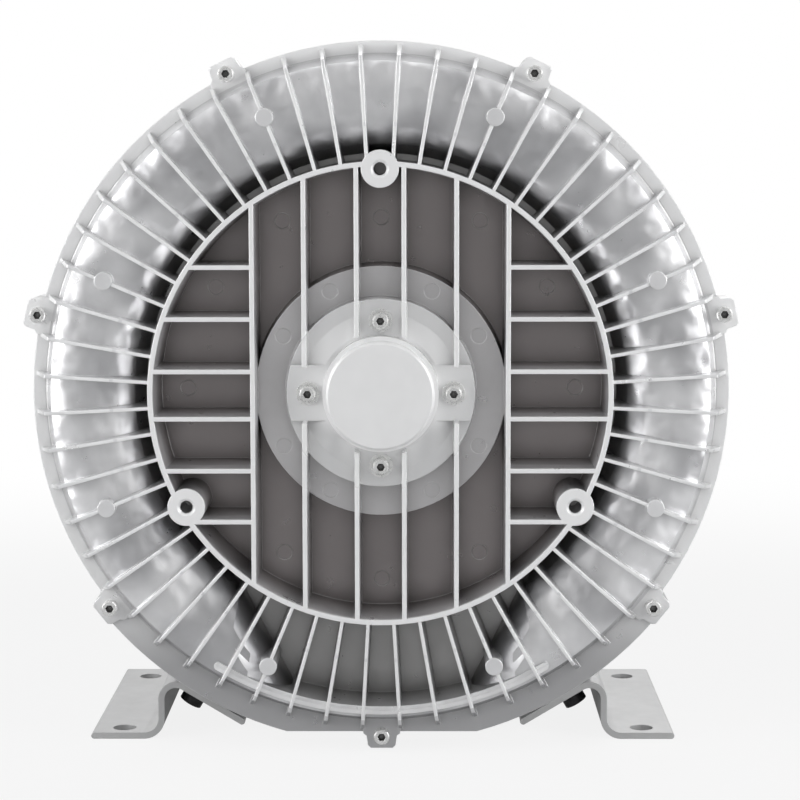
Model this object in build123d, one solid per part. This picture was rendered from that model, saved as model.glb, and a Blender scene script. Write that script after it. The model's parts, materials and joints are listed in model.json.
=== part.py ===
from build123d import *
import os
from math import asin, atan2, cos, degrees, hypot, radians, sin, sqrt, tan

# Side channel blower: millimetres, +Z up. The origin is on the floor, midway between the
# four foot holes. The shaft runs along Y and the ribbed cover faces -Y.
# Casting outlines are written as (radius from the shaft, depth behind the cover's front).
# Cuts run 1 past the faces they open, and joined shapes run 1 into each other.

# Stance
cover_reach = 122.0  # cover's front face, forward of the middle of the foot holes
lug_floor_gap = 2.0  # lowest rim lug above the floor

# Fits and clearances
running_gap = 0.4  # impeller to casting
slide_gap = 0.05  # between pieces pressed or slid together
race_gap = 0.05  # ball to race
screw_clearance = 0.3  # screw to its plain hole, on the radius
liner_gap = 0.3
head_clearance = 0.5  # round a screw head let into a flange

# Socket cap screws, as multiples of the shank's radius
head_ratio = 1.7
socket_ratio = 0.9
head_bevel = 0.5

# Side channel
channel_radius = 20.5
channel_offset = 36.1  # channel's centre outside the ring's inner face
channel_centre_depth = 33.8
front_channel_gap = 38.0  # degrees from straight down to where the front channel ends
port_x = 62.0
port_inset = 22.0  # ports higher than the channel's lowest point
port_bore_radius = 20.0

# Cover: ring, floor and rim
ring_inner_radius = 120.9
ring_wall = 2.7
ring_draft = 0.7
ring_depth = 42.0  # from the ring's front face to the floor between the ribs
floor_wall = 5.0
gutter_width = 3.6
gutter_depth = 37.0
rim_inner_outset = 22.8  # outside the channel's centre
rim_width = 7.2
rim_front_depth = 20.0

# Cover: the bulge over the side channel, seen in section. Insets are inside the
# channel's centre and outsets are outside it
bulge_foot_inset = 24.5
bulge_foot_depth = 22.0
bulge_haunch_inset = 17.5
bulge_haunch_depth = 14.6
bulge_shoulder_inset = 7.0
bulge_shoulder_depth = 10.9
bulge_crown_outset = 7.0
bulge_crown_depth = 8.5
bulge_edge_outset = 19.4
bulge_edge_depth = 11.2

# Cover: recess between the channel ends. Its two edges lean in toward the bottom, and the
# bulge ends there in a half-round face
recess_top_x = 84.9
recess_top_rise = 64.0  # above the channel's lowest point
recess_foot_x = 49.2
recess_foot_fall = 5.7  # below the channel's lowest point
bulge_end_radius = 24.6
recess_ridge_inset = 10.0  # inside the rim
recess_ridge_width = 4.5
recess_ridge_depth = 8.0
recess_ridge_half_angle = 30.8

# Lower rim, widened between the two lowest side lugs and cut flat underneath
lower_rim_width = 6.5  # beyond the rim
lower_rim_half_angle = 51.4
lower_rim_flat = 0.6  # flat underside above the rim's lowest point
housing_rim_length = 13.0
housing_wall_inset = 3.5

# Ribs
radial_rib_count = 56
radial_rib_edge = 1.8
radial_rib_root = 3.0
radial_rib_outer_depth = 3.0
radial_rib_shoulder = 0.8  # where the rib's front edge ends, inside the rim
radial_rib_end_inset = 1.8
rear_rib_count = 28
straight_rib_edge = 2.4
straight_rib_root = 3.4
rib_inner_offset = 12.6
rib_middle_offset = 40.4
rib_outer_offset = 67.8
pad_count = 8
pad_radius = 4.7
pad_outset = 1.5  # outside the channel's centre
pad_depth = 1.1

# Marks that ejector pins leave
mark_radius = 4.25
mark_sink = 0.4
floor_mark_radius = 105.7
floor_mark_angles = (0.0, 31.5, 59.5)
top_mark_drop = 12.7  # mark under the top boss, nearer the shaft than the others
plate_mark_radius = 60.5
plate_mark_angles = (29.5, 63.0)

# Ring bosses
boss_count = 3
boss_inset = 1.3  # inside the ring's inner face
boss_radius = 10.0
boss_hole_radius = 3.4
boss_hole_depth = 28.0
boss_chamfer = 1.3

# Rim lugs and their screws
lug_count = 7
lug_screw_outset = 1.0  # screw outside the rim
lug_reach = 8.0  # tip beyond the rim
lug_outer_half_width = 7.5
lug_neck_half_width = 10.0
lug_neck_length = 1.2
lug_neck_step = 0.8
lug_corner = 1.5
lug_front_depth = 17.5
lug_screw_radius = 2.5
lug_screw_length = 44.0

# Cover hub
hub_plate_radius = 67.5
hub_plate_depth = 24.0
hub_plate_draft = 1.5
hub_disc_radius = 50.4
hub_disc_depth = 13.0
hub_disc_step = 1.2
hub_dish_inner_radius = 33.0
hub_dish_middle_radius = 43.0
hub_dish_middle_drop = 3.2
hub_dish_edge_drop = 4.4
hub_lobe_half_height = 15.0
hub_screw_circle = 39.0
hub_screw_radius = 2.5
hub_screw_length = 30.0
hub_washer_thickness = 1.6
hub_washer_ratio = 2.5  # washer to screw radius
spring_washer_ratio = 1.75
cap_radius = 28.8
cap_stand = 5.0  # cap face in front of the ring's front face
cap_step_depth = 6.0
cap_wall = 2.5
cap_edge = 1.2

# Front bearing, 30 x 62 x 16
front_bearing_bore = 15.0
front_bearing_outside = 31.0
front_bearing_width = 16.0
front_bearing_depth = 18.0
front_ball_radius = 4.763
front_ball_count = 9
retainer_thickness = 9.0
retainer_radius = 51.0
retainer_lip = 5.5  # how far it covers the outer ring

# Rear bearing, 25 x 52 x 15
rear_bearing_bore = 12.5
rear_bearing_outside = 26.0
rear_bearing_width = 15.0
rear_ball_radius = 3.969
rear_ball_count = 9
race_wall = 4.6  # ring thickness at its shoulders
cage_half_width = 3.0
cage_wall = 1.6
spring_length = 3.0
spring_width = 3.5

# Impeller
impeller_width = 30.0
impeller_bore = 17.0
impeller_hub_radius = 34.0
impeller_web = 9.0
impeller_land_width = 14.5
blade_count = 40
blade_thickness = 2.4
blade_web_tip = 3.0
key_width = 10.0
key_height = 8.0
key_length = 24.0
key_play = 1.0  # keyway deeper than the key
hub_draft = 3.0

# Shaft
shaft_front_depth = 8.0
shaft_seal_radius = 20.0
shaft_core_radius = 22.0
shaft_neck_radius = 16.0
fan_seat_radius = 12.0
fan_seat_length = 36.0
core_step_lead = 4.0  # shaft's step ahead of the rear winding's end
nut_outside = 21.0
nut_width = 7.0
nut_slot_width = 5.0
nut_slot_depth = 2.0
seal_outside = 28.0
seal_width = 8.0
seal_shell = 2.5
seal_lip = 2.0
seal_wall = 10.0  # casting in front of the seal

# Rear housing
housing_hub_radius = 38.0
motor_seat_depth = 118.0
motor_seat_inner_radius = 72.0
motor_seat_outer_radius = 84.0
housing_web_count = 8
housing_web = 4.0
port_pad_depth = 125.0
port_pad_thickness = 13.0

# Motor
frame_bore = 64.0
frame_radius = 70.0
frame_length = 188.0
fin_radius = 86.0
fin_count = 36
fin_first_angle = 5.0
fin_thickness = 2.4
fin_root = 4.0  # fin's start, inside the barrel's outer face
frame_flange_radius = 88.0
frame_flange_thickness = 12.0
motor_bolt_circle = 94.0
motor_bolt_radius = 4.0
motor_bolt_length = 28.0
motor_bolt_relief = 22.0
motor_lug_radius = 11.0
tap_spare = 2.0  # tapped hole deeper than its screw
stator_start = 32.0  # behind the motor seat
stator_length = 110.0
stator_bore = 40.5
winding_length = 22.0
winding_inner_radius = 44.0
winding_outer_radius = 60.0
air_gap = 0.5
end_ring_length = 8.0
end_ring_wall = 12.0
end_ring_inset = 2.0
shield_thickness = 16.0
shield_spigot = 6.0
shield_hub_wall = 6.0
shield_lip = 3.0
register_wall = 6.0  # shield's register inside the frame
register_length = 4.0
shield_boss_radius = 7.0
shield_screw_circle = 78.0
shield_screw_radius = 2.5
shield_screw_length = 22.0

# Fan and cowl
fan_radius = 76.0
fan_hub_radius = 20.0
fan_disc = 3.0
fan_blade_count = 8
fan_blade_first_angle = 11.0
fan_blade_thickness = 2.2
fan_blade_length = 22.0
fan_hub_lead = 4.0
clip_width = 5.0
clip_thickness = 1.5
fan_offset = 12.0  # behind the end shield
cowl_radius = 90.5
cowl_wall = 1.5
cowl_overlap = 14.0
cowl_length = 96.0
cowl_shoulder = 8.0
cowl_head_height = 2.4
cowl_screw_reach = 6.0  # into the shield's ear
grille_ring_count = 3
grille_pitch = 19.0
grille_slot = 10.0
grille_first_radius = 24.0
grille_spoke_count = 6
grille_spoke = 7.0
cowl_screw_radius = 2.0
cowl_ear_radius = 5.0
cowl_gap = 0.3

# Terminal box
box_seat_height = 94.0
box_width = 96.0
box_length = 96.0
box_height = 40.0
box_wall = 3.5
box_corner = 8.0
box_start = 44.0  # behind the motor seat
box_seat_inset = 4.0
box_gasket = 1.5
lid_height = 12.0
lid_screw_radius = 2.0
lid_screw_length = 18.0
lid_head_radius = 3.6
lid_head_height = 2.4
lid_slot_width = 1.0
lid_slot_depth = 1.6
lid_edge = 2.0
lid_post_radius = 6.0
lid_screw_inset = 9.0
box_screw_radius = 2.5
box_screw_inset = 20.0
box_screw_length = 12.0
box_head_radius = 4.2
box_head_height = 4.0
wire_hole_radius = 12.0
gland_thread_radius = 12.5
gland_bore_radius = 8.0
gland_hex_radius = 16.5
gland_thread_length = 8.0
gland_body_length = 7.0
gland_neck_length = 3.0
gland_neck_step = 1.0
gland_nut_length = 8.0
gland_dome_length = 6.0
gland_dome_inset = 2.3
gland_dome_taper = 20.0
plug_head_length = 6.0
board_length = 44.0
board_width = 34.0
board_thickness = 6.0
board_stand = 3.0
board_foot_width = 8.0
barrier_height = 5.0
barrier_thickness = 1.6
board_shift = 18.0  # board behind the box's middle, clear of the wire hole
stud_rows = 2
stud_columns = 3
stud_pitch = 16.0
stud_radius = 2.0
stud_height = 12.0
stud_foot = 1.0  # board left under a stud
stud_nut_height = 3.0

# Silencers and ports
silencer_radius = 42.0
silencer_wall = 4.0
silencer_length = 148.0
silencer_end_wall = 5.0
silencer_flange = 10.0
silencer_screw_circle = 48.0
silencer_screw_angle = 50.0
silencer_screw_radius = 3.0
silencer_screw_length = 22.0
silencer_ear_radius = 8.0
silencer_relief = 12.0
foam_bore = 24.0
port_thread_radius = 28.3
port_flange_thickness = 12.0
port_neck_radius = 38.0
port_length = 24.0
port_gasket = 1.0

# Feet: the flange is square to the housing's radius through its bolts
foot_sheet = 3.5
foot_hole_x = 145.0
foot_hole_y = 65.0
foot_hole_radius = 6.5
foot_toe = 15.7  # base edge outside the holes
foot_riser_inset = 22.0  # riser inside the holes
foot_bolt_inset = 42.5
foot_heel_inset = 66.7  # flange edge inside the holes
foot_front_depth = 45.0
foot_length = 162.0
foot_base_bend = 10.0
foot_top_bend = 8.0
foot_rim_gap = 5.5  # foot's seat outside the lower rim
foot_pad_width = 34.0
foot_pad_height = 23.0
foot_bolt_radius = 4.0
foot_bolt_length = 21.0
foot_bolt_first_depth = 70.0
foot_bolt_pitch = 30.0
foot_head_ratio = 1.62
foot_washer_thickness = 1.6

# Places worked out from the sizes above
front_y = -cover_reach
channel_centre_radius = ring_inner_radius + channel_offset
bulge_foot_radius = channel_centre_radius - bulge_foot_inset
bulge_haunch_radius = channel_centre_radius - bulge_haunch_inset
bulge_shoulder_radius = channel_centre_radius - bulge_shoulder_inset
bulge_crown_radius = channel_centre_radius + bulge_crown_outset
bulge_edge_radius = channel_centre_radius + bulge_edge_outset
rim_inner_radius = channel_centre_radius + rim_inner_outset
rim_radius = rim_inner_radius + rim_width
radial_rib_outer_radius = rim_inner_radius - radial_rib_shoulder
radial_rib_end_radius = rim_radius - radial_rib_end_inset
pad_circle_radius = channel_centre_radius + pad_outset
boss_circle_radius = ring_inner_radius - boss_inset
recess_top_drop = channel_centre_radius - recess_top_rise
recess_foot_drop = channel_centre_radius + recess_foot_fall
recess_ridge_radius = rim_inner_radius - recess_ridge_inset
recess_lean = degrees(atan2(recess_top_x - recess_foot_x, recess_foot_drop - recess_top_drop))
lower_rim_radius = rim_radius + lower_rim_width
lower_rim_drop = rim_radius - lower_rim_flat
housing_wall_radius = rim_radius - housing_wall_inset
lug_screw_circle = rim_radius + lug_screw_outset
lug_outer_radius = rim_radius + lug_reach
shaft_height = lug_outer_radius + lug_floor_gap
port_drop = channel_centre_radius - port_inset
parting_depth = ring_depth + floor_wall
cavity_back_depth = parting_depth + impeller_width + 2 * running_gap
channel_outer_radius = channel_centre_radius + channel_radius
channel_inner_radius = channel_centre_radius - channel_radius
impeller_land_radius = channel_inner_radius - impeller_land_width
retainer_depth = front_bearing_depth + front_bearing_width
shield_depth = motor_seat_depth + frame_length
rear_bearing_depth = shield_depth - shield_spigot
silencer_back_depth = port_pad_depth + silencer_length
port_circle_radius = hypot(port_x, port_drop)
port_angle = degrees(atan2(port_x, port_drop))  # from straight down
seal_depth = cavity_back_depth + seal_wall
stator_depth = motor_seat_depth + stator_start
cowl_depth = shield_depth + shield_thickness - cowl_overlap
foot_front_y = front_y + foot_front_depth
foot_outer_x = foot_hole_x + foot_toe
foot_riser_x = foot_hole_x - foot_riser_inset
foot_inner_x = foot_hole_x - foot_heel_inset
foot_seat_radius = lower_rim_radius + foot_rim_gap
foot_seat_angle = degrees(asin((foot_hole_x - foot_bolt_inset) / foot_seat_radius))  # from straight down
foot_pad_root_radius = foot_seat_radius - foot_pad_height


def mirrored(depth):
    """The depth as far behind the impeller as the given depth is in front of it."""
    return parting_depth + cavity_back_depth - depth


def raised(shape):
    """Lift a shape built about the Y axis up to the shaft."""
    return Pos(0, 0, shaft_height) * shape


def at_angle(angle):
    """Turn about the shaft so that +X comes to the given angle, 90 being straight up."""
    return Rot(0, -angle, 0)


def station(radius, depth):
    return (radius, front_y + depth)


def turned(points, arc=360):
    """Revolve a (radius, depth) outline about the shaft."""
    outline = Polyline(*[station(*point) for point in points], close=True)
    return revolve(make_face(outline), Axis.Y, arc)


def bar(radius, start, end, x=0.0, z=0.0):
    """A round bar along Y between two depths."""
    plane = Plane(origin=(x, front_y + start, z), x_dir=(1, 0, 0), z_dir=(0, 1, 0))
    return extrude(plane * Circle(radius), end - start)


def cone(front_radius, back_radius, start, x, z):
    """A 45 degree cone along Y from the given depth."""
    height = abs(front_radius - back_radius)
    plane = Plane(origin=(x, front_y + start + height / 2, z), x_dir=(1, 0, 0), z_dir=(0, 1, 0))
    return plane * Cone(front_radius, back_radius, height)


def slab(outline, start, end):
    """Extrude a flat outline in X and Z between two depths."""
    face = Plane.XZ.offset(-front_y - start) * outline
    return extrude(face, end - start, dir=(0, 1, 0))


def ring_of(count, first=0.0):
    return [first + 360 * i / count for i in range(count)]


def polar(radius, angle):
    return (radius * cos(radians(angle)), radius * sin(radians(angle)))


def cap_screw(radius, length, head_depth, x, z):
    """A socket cap screw along Y: bevelled head, hexagon socket and shank."""
    seat = head_depth + 2 * radius
    wide = head_ratio * radius
    head = bar(wide, head_depth + head_bevel, seat, x, z)
    head += cone(wide - head_bevel, wide, head_depth, x, z)
    socket = slab(Pos(x, z) * RegularPolygon(socket_ratio * radius, 6), head_depth - 1, head_depth + radius)
    return head - socket + bar(radius, seat, seat + length, x, z)


def reversed_screw(radius, length, seat, x, z):
    """A socket cap screw along Y whose head faces backward."""
    end = seat + 2 * radius
    wide = head_ratio * radius
    head = bar(wide, seat, end - head_bevel, x, z)
    head += cone(wide, wide - head_bevel, end - head_bevel, x, z)
    socket = slab(Pos(x, z) * RegularPolygon(socket_ratio * radius, 6), end - radius, end + 1)
    return head - socket + bar(radius, seat - length, seat, x, z)


# --- Castings -------------------------------------------------------------------------


def bulge_section(flip, tail):
    """Solid of a casting from the shaft out to the bulge, then along the tail to the parting."""
    def point(radius, depth):
        return station(radius, mirrored(depth) if flip else depth)

    ring_outer = ring_inner_radius + ring_wall
    gutter = ring_outer + ring_draft
    top = gutter_depth
    run = [
        Polyline(
            station(0, parting_depth), point(0, ring_depth),
            point(ring_inner_radius - ring_draft, ring_depth), point(ring_inner_radius, 0),
            point(ring_outer, 0), point(gutter, top), point(gutter + gutter_width, top),
            point(bulge_foot_radius, bulge_foot_depth)),
        ThreePointArc(
            point(bulge_foot_radius, bulge_foot_depth),
            point(bulge_haunch_radius, bulge_haunch_depth),
            point(bulge_shoulder_radius, bulge_shoulder_depth)),
        ThreePointArc(
            point(bulge_shoulder_radius, bulge_shoulder_depth),
            point(bulge_crown_radius, bulge_crown_depth),
            point(bulge_edge_radius, bulge_edge_depth)),
        Polyline(
            point(bulge_edge_radius, bulge_edge_depth),
            *[station(*place) for place in tail],
            station(0, parting_depth)),
    ]
    return revolve(make_face(run), Axis.Y)


def channel_cut(flip, gap):
    """The side channel: a half-round groove that stops at a ball end either side of the bottom."""
    def depth(value):
        return mirrored(value) if flip else value

    centre = station(channel_centre_radius, depth(channel_centre_depth))
    open_depth = parting_depth + (-1 if flip else 1) * 1.0
    straight = Polyline(
        station(channel_inner_radius, depth(channel_centre_depth)),
        station(channel_inner_radius, depth(open_depth)),
        station(channel_outer_radius, depth(open_depth)),
        station(channel_outer_radius, depth(channel_centre_depth)), close=True)
    section = make_face(straight) + Pos(*centre) * Circle(channel_radius)
    groove = revolve(section, Axis.Y, 360 - 2 * gap)
    groove = at_angle(-90 - gap) * groove
    cut = [groove]
    for side in (-1, 1):
        angle = -90 + side * gap
        x, z = polar(channel_centre_radius, angle)
        cut.append(Pos(x, centre[1], z) * Sphere(channel_radius))
        low, high = sorted((depth(channel_centre_depth), depth(open_depth)))
        cut.append(bar(channel_radius, low, high, x, z))
    return cut


def tapered_rib(edge, root, inner, outer, depth_end):
    """A drafted rib standing on X from inner to outer, its thin edge at depth 0."""
    start = front_y
    end = front_y + depth_end
    outline = Polyline((-edge / 2, start), (edge / 2, start), (root / 2, end), (-root / 2, end), close=True)
    face = Plane(origin=(inner, 0, 0), x_dir=(0, 0, 1), z_dir=(-1, 0, 0)) * make_face(outline)
    return extrude(face, outer - inner, dir=(1, 0, 0))


def radial_ribs(count, flip):
    """Ribs that run from the ring over the bulge to the rim."""
    inner = ring_inner_radius + ring_wall / 2
    blank = tapered_rib(radial_rib_edge, radial_rib_root, inner, rim_radius, parting_depth)
    side = Polyline(
        station(inner, 0), station(radial_rib_outer_radius, radial_rib_outer_depth),
        station(radial_rib_end_radius, rim_front_depth), station(rim_inner_radius - 1, parting_depth - 1),
        station(inner, parting_depth - 1), close=True)
    rib = blank & extrude(make_face(side), radial_rib_root, both=True)
    if flip:
        rib = mirror(rib, Plane.XZ.offset(-front_y - mirrored(0) / 2))
    return [at_angle(angle) * rib for angle in ring_of(count, 180 / radial_rib_count)]


def straight_ribs():
    """Upright ribs through the ring, and level ribs either side of the outermost uprights."""
    reach = ring_inner_radius + ring_wall / 2
    ribs = []
    for offset in (rib_inner_offset, rib_middle_offset, rib_outer_offset):
        half = sqrt(reach ** 2 - offset ** 2)
        upright = tapered_rib(straight_rib_edge, straight_rib_root, -half, half, parting_depth - 1)
        level = tapered_rib(straight_rib_edge, straight_rib_root, rib_outer_offset, half, parting_depth - 1)
        for side in (-1, 1):
            ribs.append(Pos(side * offset, 0, 0) * (at_angle(90) * upright))
            ribs.append(Pos(0, 0, side * offset) * level)
            ribs.append(Pos(0, 0, side * offset) * (at_angle(180) * level))
    return ribs


def lug_outline():
    """One rim lug in plan, pointing along +X."""
    neck = rim_radius
    tip = lug_outer_radius
    half = lug_outer_half_width
    root = bulge_edge_radius
    root_half = lug_neck_half_width + 1
    step_half = half + lug_neck_step
    return Polyline(
        (root, -root_half), (neck, -lug_neck_half_width), (neck + lug_neck_length, -step_half),
        (tip - lug_corner, -half), (tip, -half + lug_corner), (tip, half - lug_corner),
        (tip - lug_corner, half), (neck + lug_neck_length, step_half),
        (neck, lug_neck_half_width), (root, root_half), close=True)


def lug_angles():
    return ring_of(lug_count, -90)


def lugs(start, end):
    face = make_face(lug_outline())
    return [slab(Rot(0, 0, angle) * face, start, end) for angle in lug_angles()]


def lower_rim(start, end):
    """The widened rim low down, flat underneath."""
    wide = lower_rim_radius + 10
    edge_x = wide * sin(radians(lower_rim_half_angle))
    edge_z = -wide * cos(radians(lower_rim_half_angle))
    wedge = make_face(Polyline(
        (0, 0), (-edge_x, edge_z), (-edge_x, -lower_rim_drop), (edge_x, -lower_rim_drop),
        (edge_x, edge_z), close=True))
    ring = Circle(lower_rim_radius) - Circle(rim_inner_radius + 2)
    return slab(ring & wedge, start, end)


def rim_trim():
    """What is cut away below the flat underside of the rim, clear of the lowest lug."""
    width = lower_rim_radius
    below = Pos(0, -lower_rim_drop - width / 2) * Rectangle(2 * width, width)
    return slab(below - Rectangle(2 * lug_neck_half_width, 4 * width), 0, mirrored(0))


def recess_edge(shift, drop):
    """X of the recess's right edge, moved outward by the shift, at a drop below the shaft."""
    lean = radians(recess_lean)
    return recess_top_x - (drop - recess_top_drop) * tan(lean) + shift / cos(lean)


def recess_cut():
    """The recess in the cover between the half-round ends of the bulge."""
    low = recess_ridge_radius + recess_ridge_width
    high = recess_top_drop
    middle = bulge_end_radius

    def strip(inner, outer):
        return make_face(Polyline(
            (recess_edge(inner, high), -high), (recess_edge(outer, high), -high),
            (recess_edge(outer, low), -low), (recess_edge(inner, low), -low), close=True))

    half_width = make_face(Polyline(
        (0, -high), (recess_edge(middle, high), -high),
        (recess_edge(middle, low), -low), (0, -low), close=True))
    roll_depth = bulge_crown_depth + bulge_end_radius
    roll_drop = (high + low) / 2
    roll = Pos(recess_edge(middle, roll_drop), front_y + roll_depth, -roll_drop) * (
        Rot(0, recess_lean, 0) * Cylinder(bulge_end_radius, 2 * low))
    hole = ring_inner_radius + ring_wall + ring_draft
    annulus = Circle(recess_ridge_radius) - Circle(hole)
    half = slab(half_width & annulus, 0, ring_depth) - [roll, slab(strip(0, middle), roll_depth, ring_depth)]
    return half + mirror(half, Plane.YZ)


def ridge():
    """The arc-shaped ridge along the outer side of the recess."""
    inner = recess_ridge_radius
    outer = inner + recess_ridge_width
    wedge_reach = outer + 1
    edge_x = wedge_reach * tan(radians(recess_ridge_half_angle))
    wedge = make_face(Polyline((0, 0), (-edge_x, -wedge_reach), (edge_x, -wedge_reach), close=True))
    arc = (Circle(outer) - Circle(inner)) & wedge
    ends = []
    for side in (-1, 1):
        x, z = polar(inner + recess_ridge_width / 2, -90 + side * recess_ridge_half_angle)
        ends.append(bar(recess_ridge_width / 2, recess_ridge_depth, bulge_foot_depth, x, z))
    return [slab(arc, recess_ridge_depth, parting_depth - 1)] + ends


def cover_hub():
    """Raised plate and disc round the bearing bore, dished between four flat screw pads."""
    plate = turned([
        (0, parting_depth), (hub_plate_radius + hub_plate_draft, ring_depth),
        (hub_plate_radius, hub_plate_depth), (hub_disc_radius + hub_disc_step, hub_plate_depth),
        (hub_disc_radius, hub_disc_depth), (0, hub_disc_depth)])
    dish = turned([
        (hub_dish_inner_radius, hub_disc_depth - 1), (hub_dish_inner_radius, hub_disc_depth),
        (hub_dish_middle_radius, hub_disc_depth + hub_dish_middle_drop),
        (hub_plate_radius, hub_disc_depth + hub_dish_edge_drop), (hub_plate_radius, hub_disc_depth - 1)])
    reach = 2 * hub_plate_radius
    pads = Rectangle(2 * rib_inner_offset, reach) + Rectangle(reach, 2 * hub_lobe_half_height)
    return plate - (dish - slab(pads, 0, parting_depth))


def ejector_marks():
    """Shallow round marks on the floor and on the hub plate, the same left and right."""
    outermost = floor_mark_angles[-1]
    beside = [(*polar(floor_mark_radius, angle), ring_depth) for angle in (-outermost, *floor_mark_angles)]
    for angle in plate_mark_angles:
        beside += [(*polar(plate_mark_radius, sign * angle), hub_plate_depth) for sign in (-1, 1)]
    places = [(side * x, z, depth) for x, z, depth in beside for side in (-1, 1)]
    places += [(0, -floor_mark_radius, ring_depth), (0, floor_mark_radius - top_mark_drop, ring_depth)]
    return [bar(mark_radius, depth - 1, depth + mark_sink, x, z) for x, z, depth in places]


def rib_clearance():
    """Where the ribs stop round the bearing bore and at the two side lobes."""
    lobe_width = 2 * (rib_middle_offset + straight_rib_root)
    lobes = Rectangle(lobe_width, 2 * hub_lobe_half_height)
    return slab(lobes + Circle(front_bearing_outside + 2), -1, hub_disc_depth)


def hub_screw_places():
    return [polar(hub_screw_circle, angle) for angle in ring_of(4)]


def front_cover():
    casting = bulge_section(False, [
        (rim_inner_radius, rim_front_depth), (rim_radius, rim_front_depth), (rim_radius, parting_depth)])
    casting = casting - recess_cut()
    casting = casting + (lugs(lug_front_depth, parting_depth) + [lower_rim(rim_front_depth, parting_depth)])
    boss_places = [polar(boss_circle_radius, angle) for angle in ring_of(boss_count, 90)]
    bosses = [bar(boss_radius, 0, parting_depth, x, z) for x, z in boss_places]
    pads = [
        bar(pad_radius, pad_depth, ring_depth + 1, *polar(pad_circle_radius, a))
        for a in ring_of(pad_count, 180 / pad_count)]
    first_rib, *other_ribs = straight_ribs()
    inner_ribs = (first_rib + other_ribs) - rib_clearance()
    casting = casting + ([cover_hub(), inner_ribs] + bosses + pads + ridge())
    casting = casting + radial_ribs(radial_rib_count, False)
    cuts = channel_cut(False, front_channel_gap)
    cuts.append(bar(front_bearing_outside, -cap_stand, parting_depth + 1))
    cuts.append(bar(retainer_radius + slide_gap, retainer_depth, parting_depth + 1))
    cuts += [bar(hub_screw_radius + screw_clearance, 0, parting_depth, x, z) for x, z in hub_screw_places()]
    for x, z in boss_places:
        cuts.append(bar(boss_hole_radius, -1, boss_hole_depth, x, z))
        cuts.append(cone(boss_hole_radius + boss_chamfer, boss_hole_radius, 0, x, z))
    for angle in lug_angles():
        x, z = polar(lug_screw_circle, angle)
        cuts.append(bar(lug_screw_radius + screw_clearance, 0, parting_depth + 1, x, z))
    cuts.append(rim_trim())
    return raised(casting - cuts - ejector_marks())


def silencer_outline():
    """Plan of a silencer flange at the port, square to the radius from the shaft."""
    across = silencer_screw_circle * sin(radians(silencer_screw_angle)) + silencer_ear_radius
    along = silencer_screw_circle * cos(radians(silencer_screw_angle)) + silencer_ear_radius
    return RectangleRounded(2 * along, 2 * across, silencer_ear_radius - 0.1) + Circle(silencer_radius)


def at_port(side, outline):
    """Put a plan drawn about the port's centre at the left (-1) or right (1) port."""
    return Rot(0, 0, -90 + side * port_angle) * Pos(port_circle_radius, 0) * outline


def port_place(side):
    return polar(port_circle_radius, -90 + side * port_angle)


def silencer_screw_places(side):
    x, z = port_place(side)
    places = []
    for angle in (silencer_screw_angle, -silencer_screw_angle,
                  180 - silencer_screw_angle, silencer_screw_angle - 180):
        dx, dz = polar(silencer_screw_circle, -90 + side * port_angle + angle)
        places.append((x + dx, z + dz))
    return places


def motor_bolt_places():
    return [polar(motor_bolt_circle, angle) for angle in ring_of(4, 45)]


def radial_bar(radius, inner, outer, angle, depth):
    """A round bar pointing out from the shaft at an angle."""
    along = Plane(origin=(inner, front_y + depth, 0), x_dir=(0, 1, 0), z_dir=(1, 0, 0))
    return at_angle(angle) * extrude(along * Circle(radius), outer - inner)


def foot_bolt_depths():
    return [foot_bolt_first_depth, foot_bolt_first_depth + foot_bolt_pitch]


def foot_pad(angle):
    """Cast pad that a foot bolts to, flat and square to the radius."""
    margin = foot_pad_width / 2
    start = foot_bolt_first_depth - margin
    length = foot_bolt_pitch + 2 * margin
    thickness = foot_seat_radius - foot_pad_root_radius
    block = Pos(foot_pad_root_radius + thickness / 2, front_y + start + length / 2, 0) * Box(
        thickness, length, foot_pad_width)
    return at_angle(angle) * block


def foot_angles():
    return [-90 - foot_seat_angle, -90 + foot_seat_angle]


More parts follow.
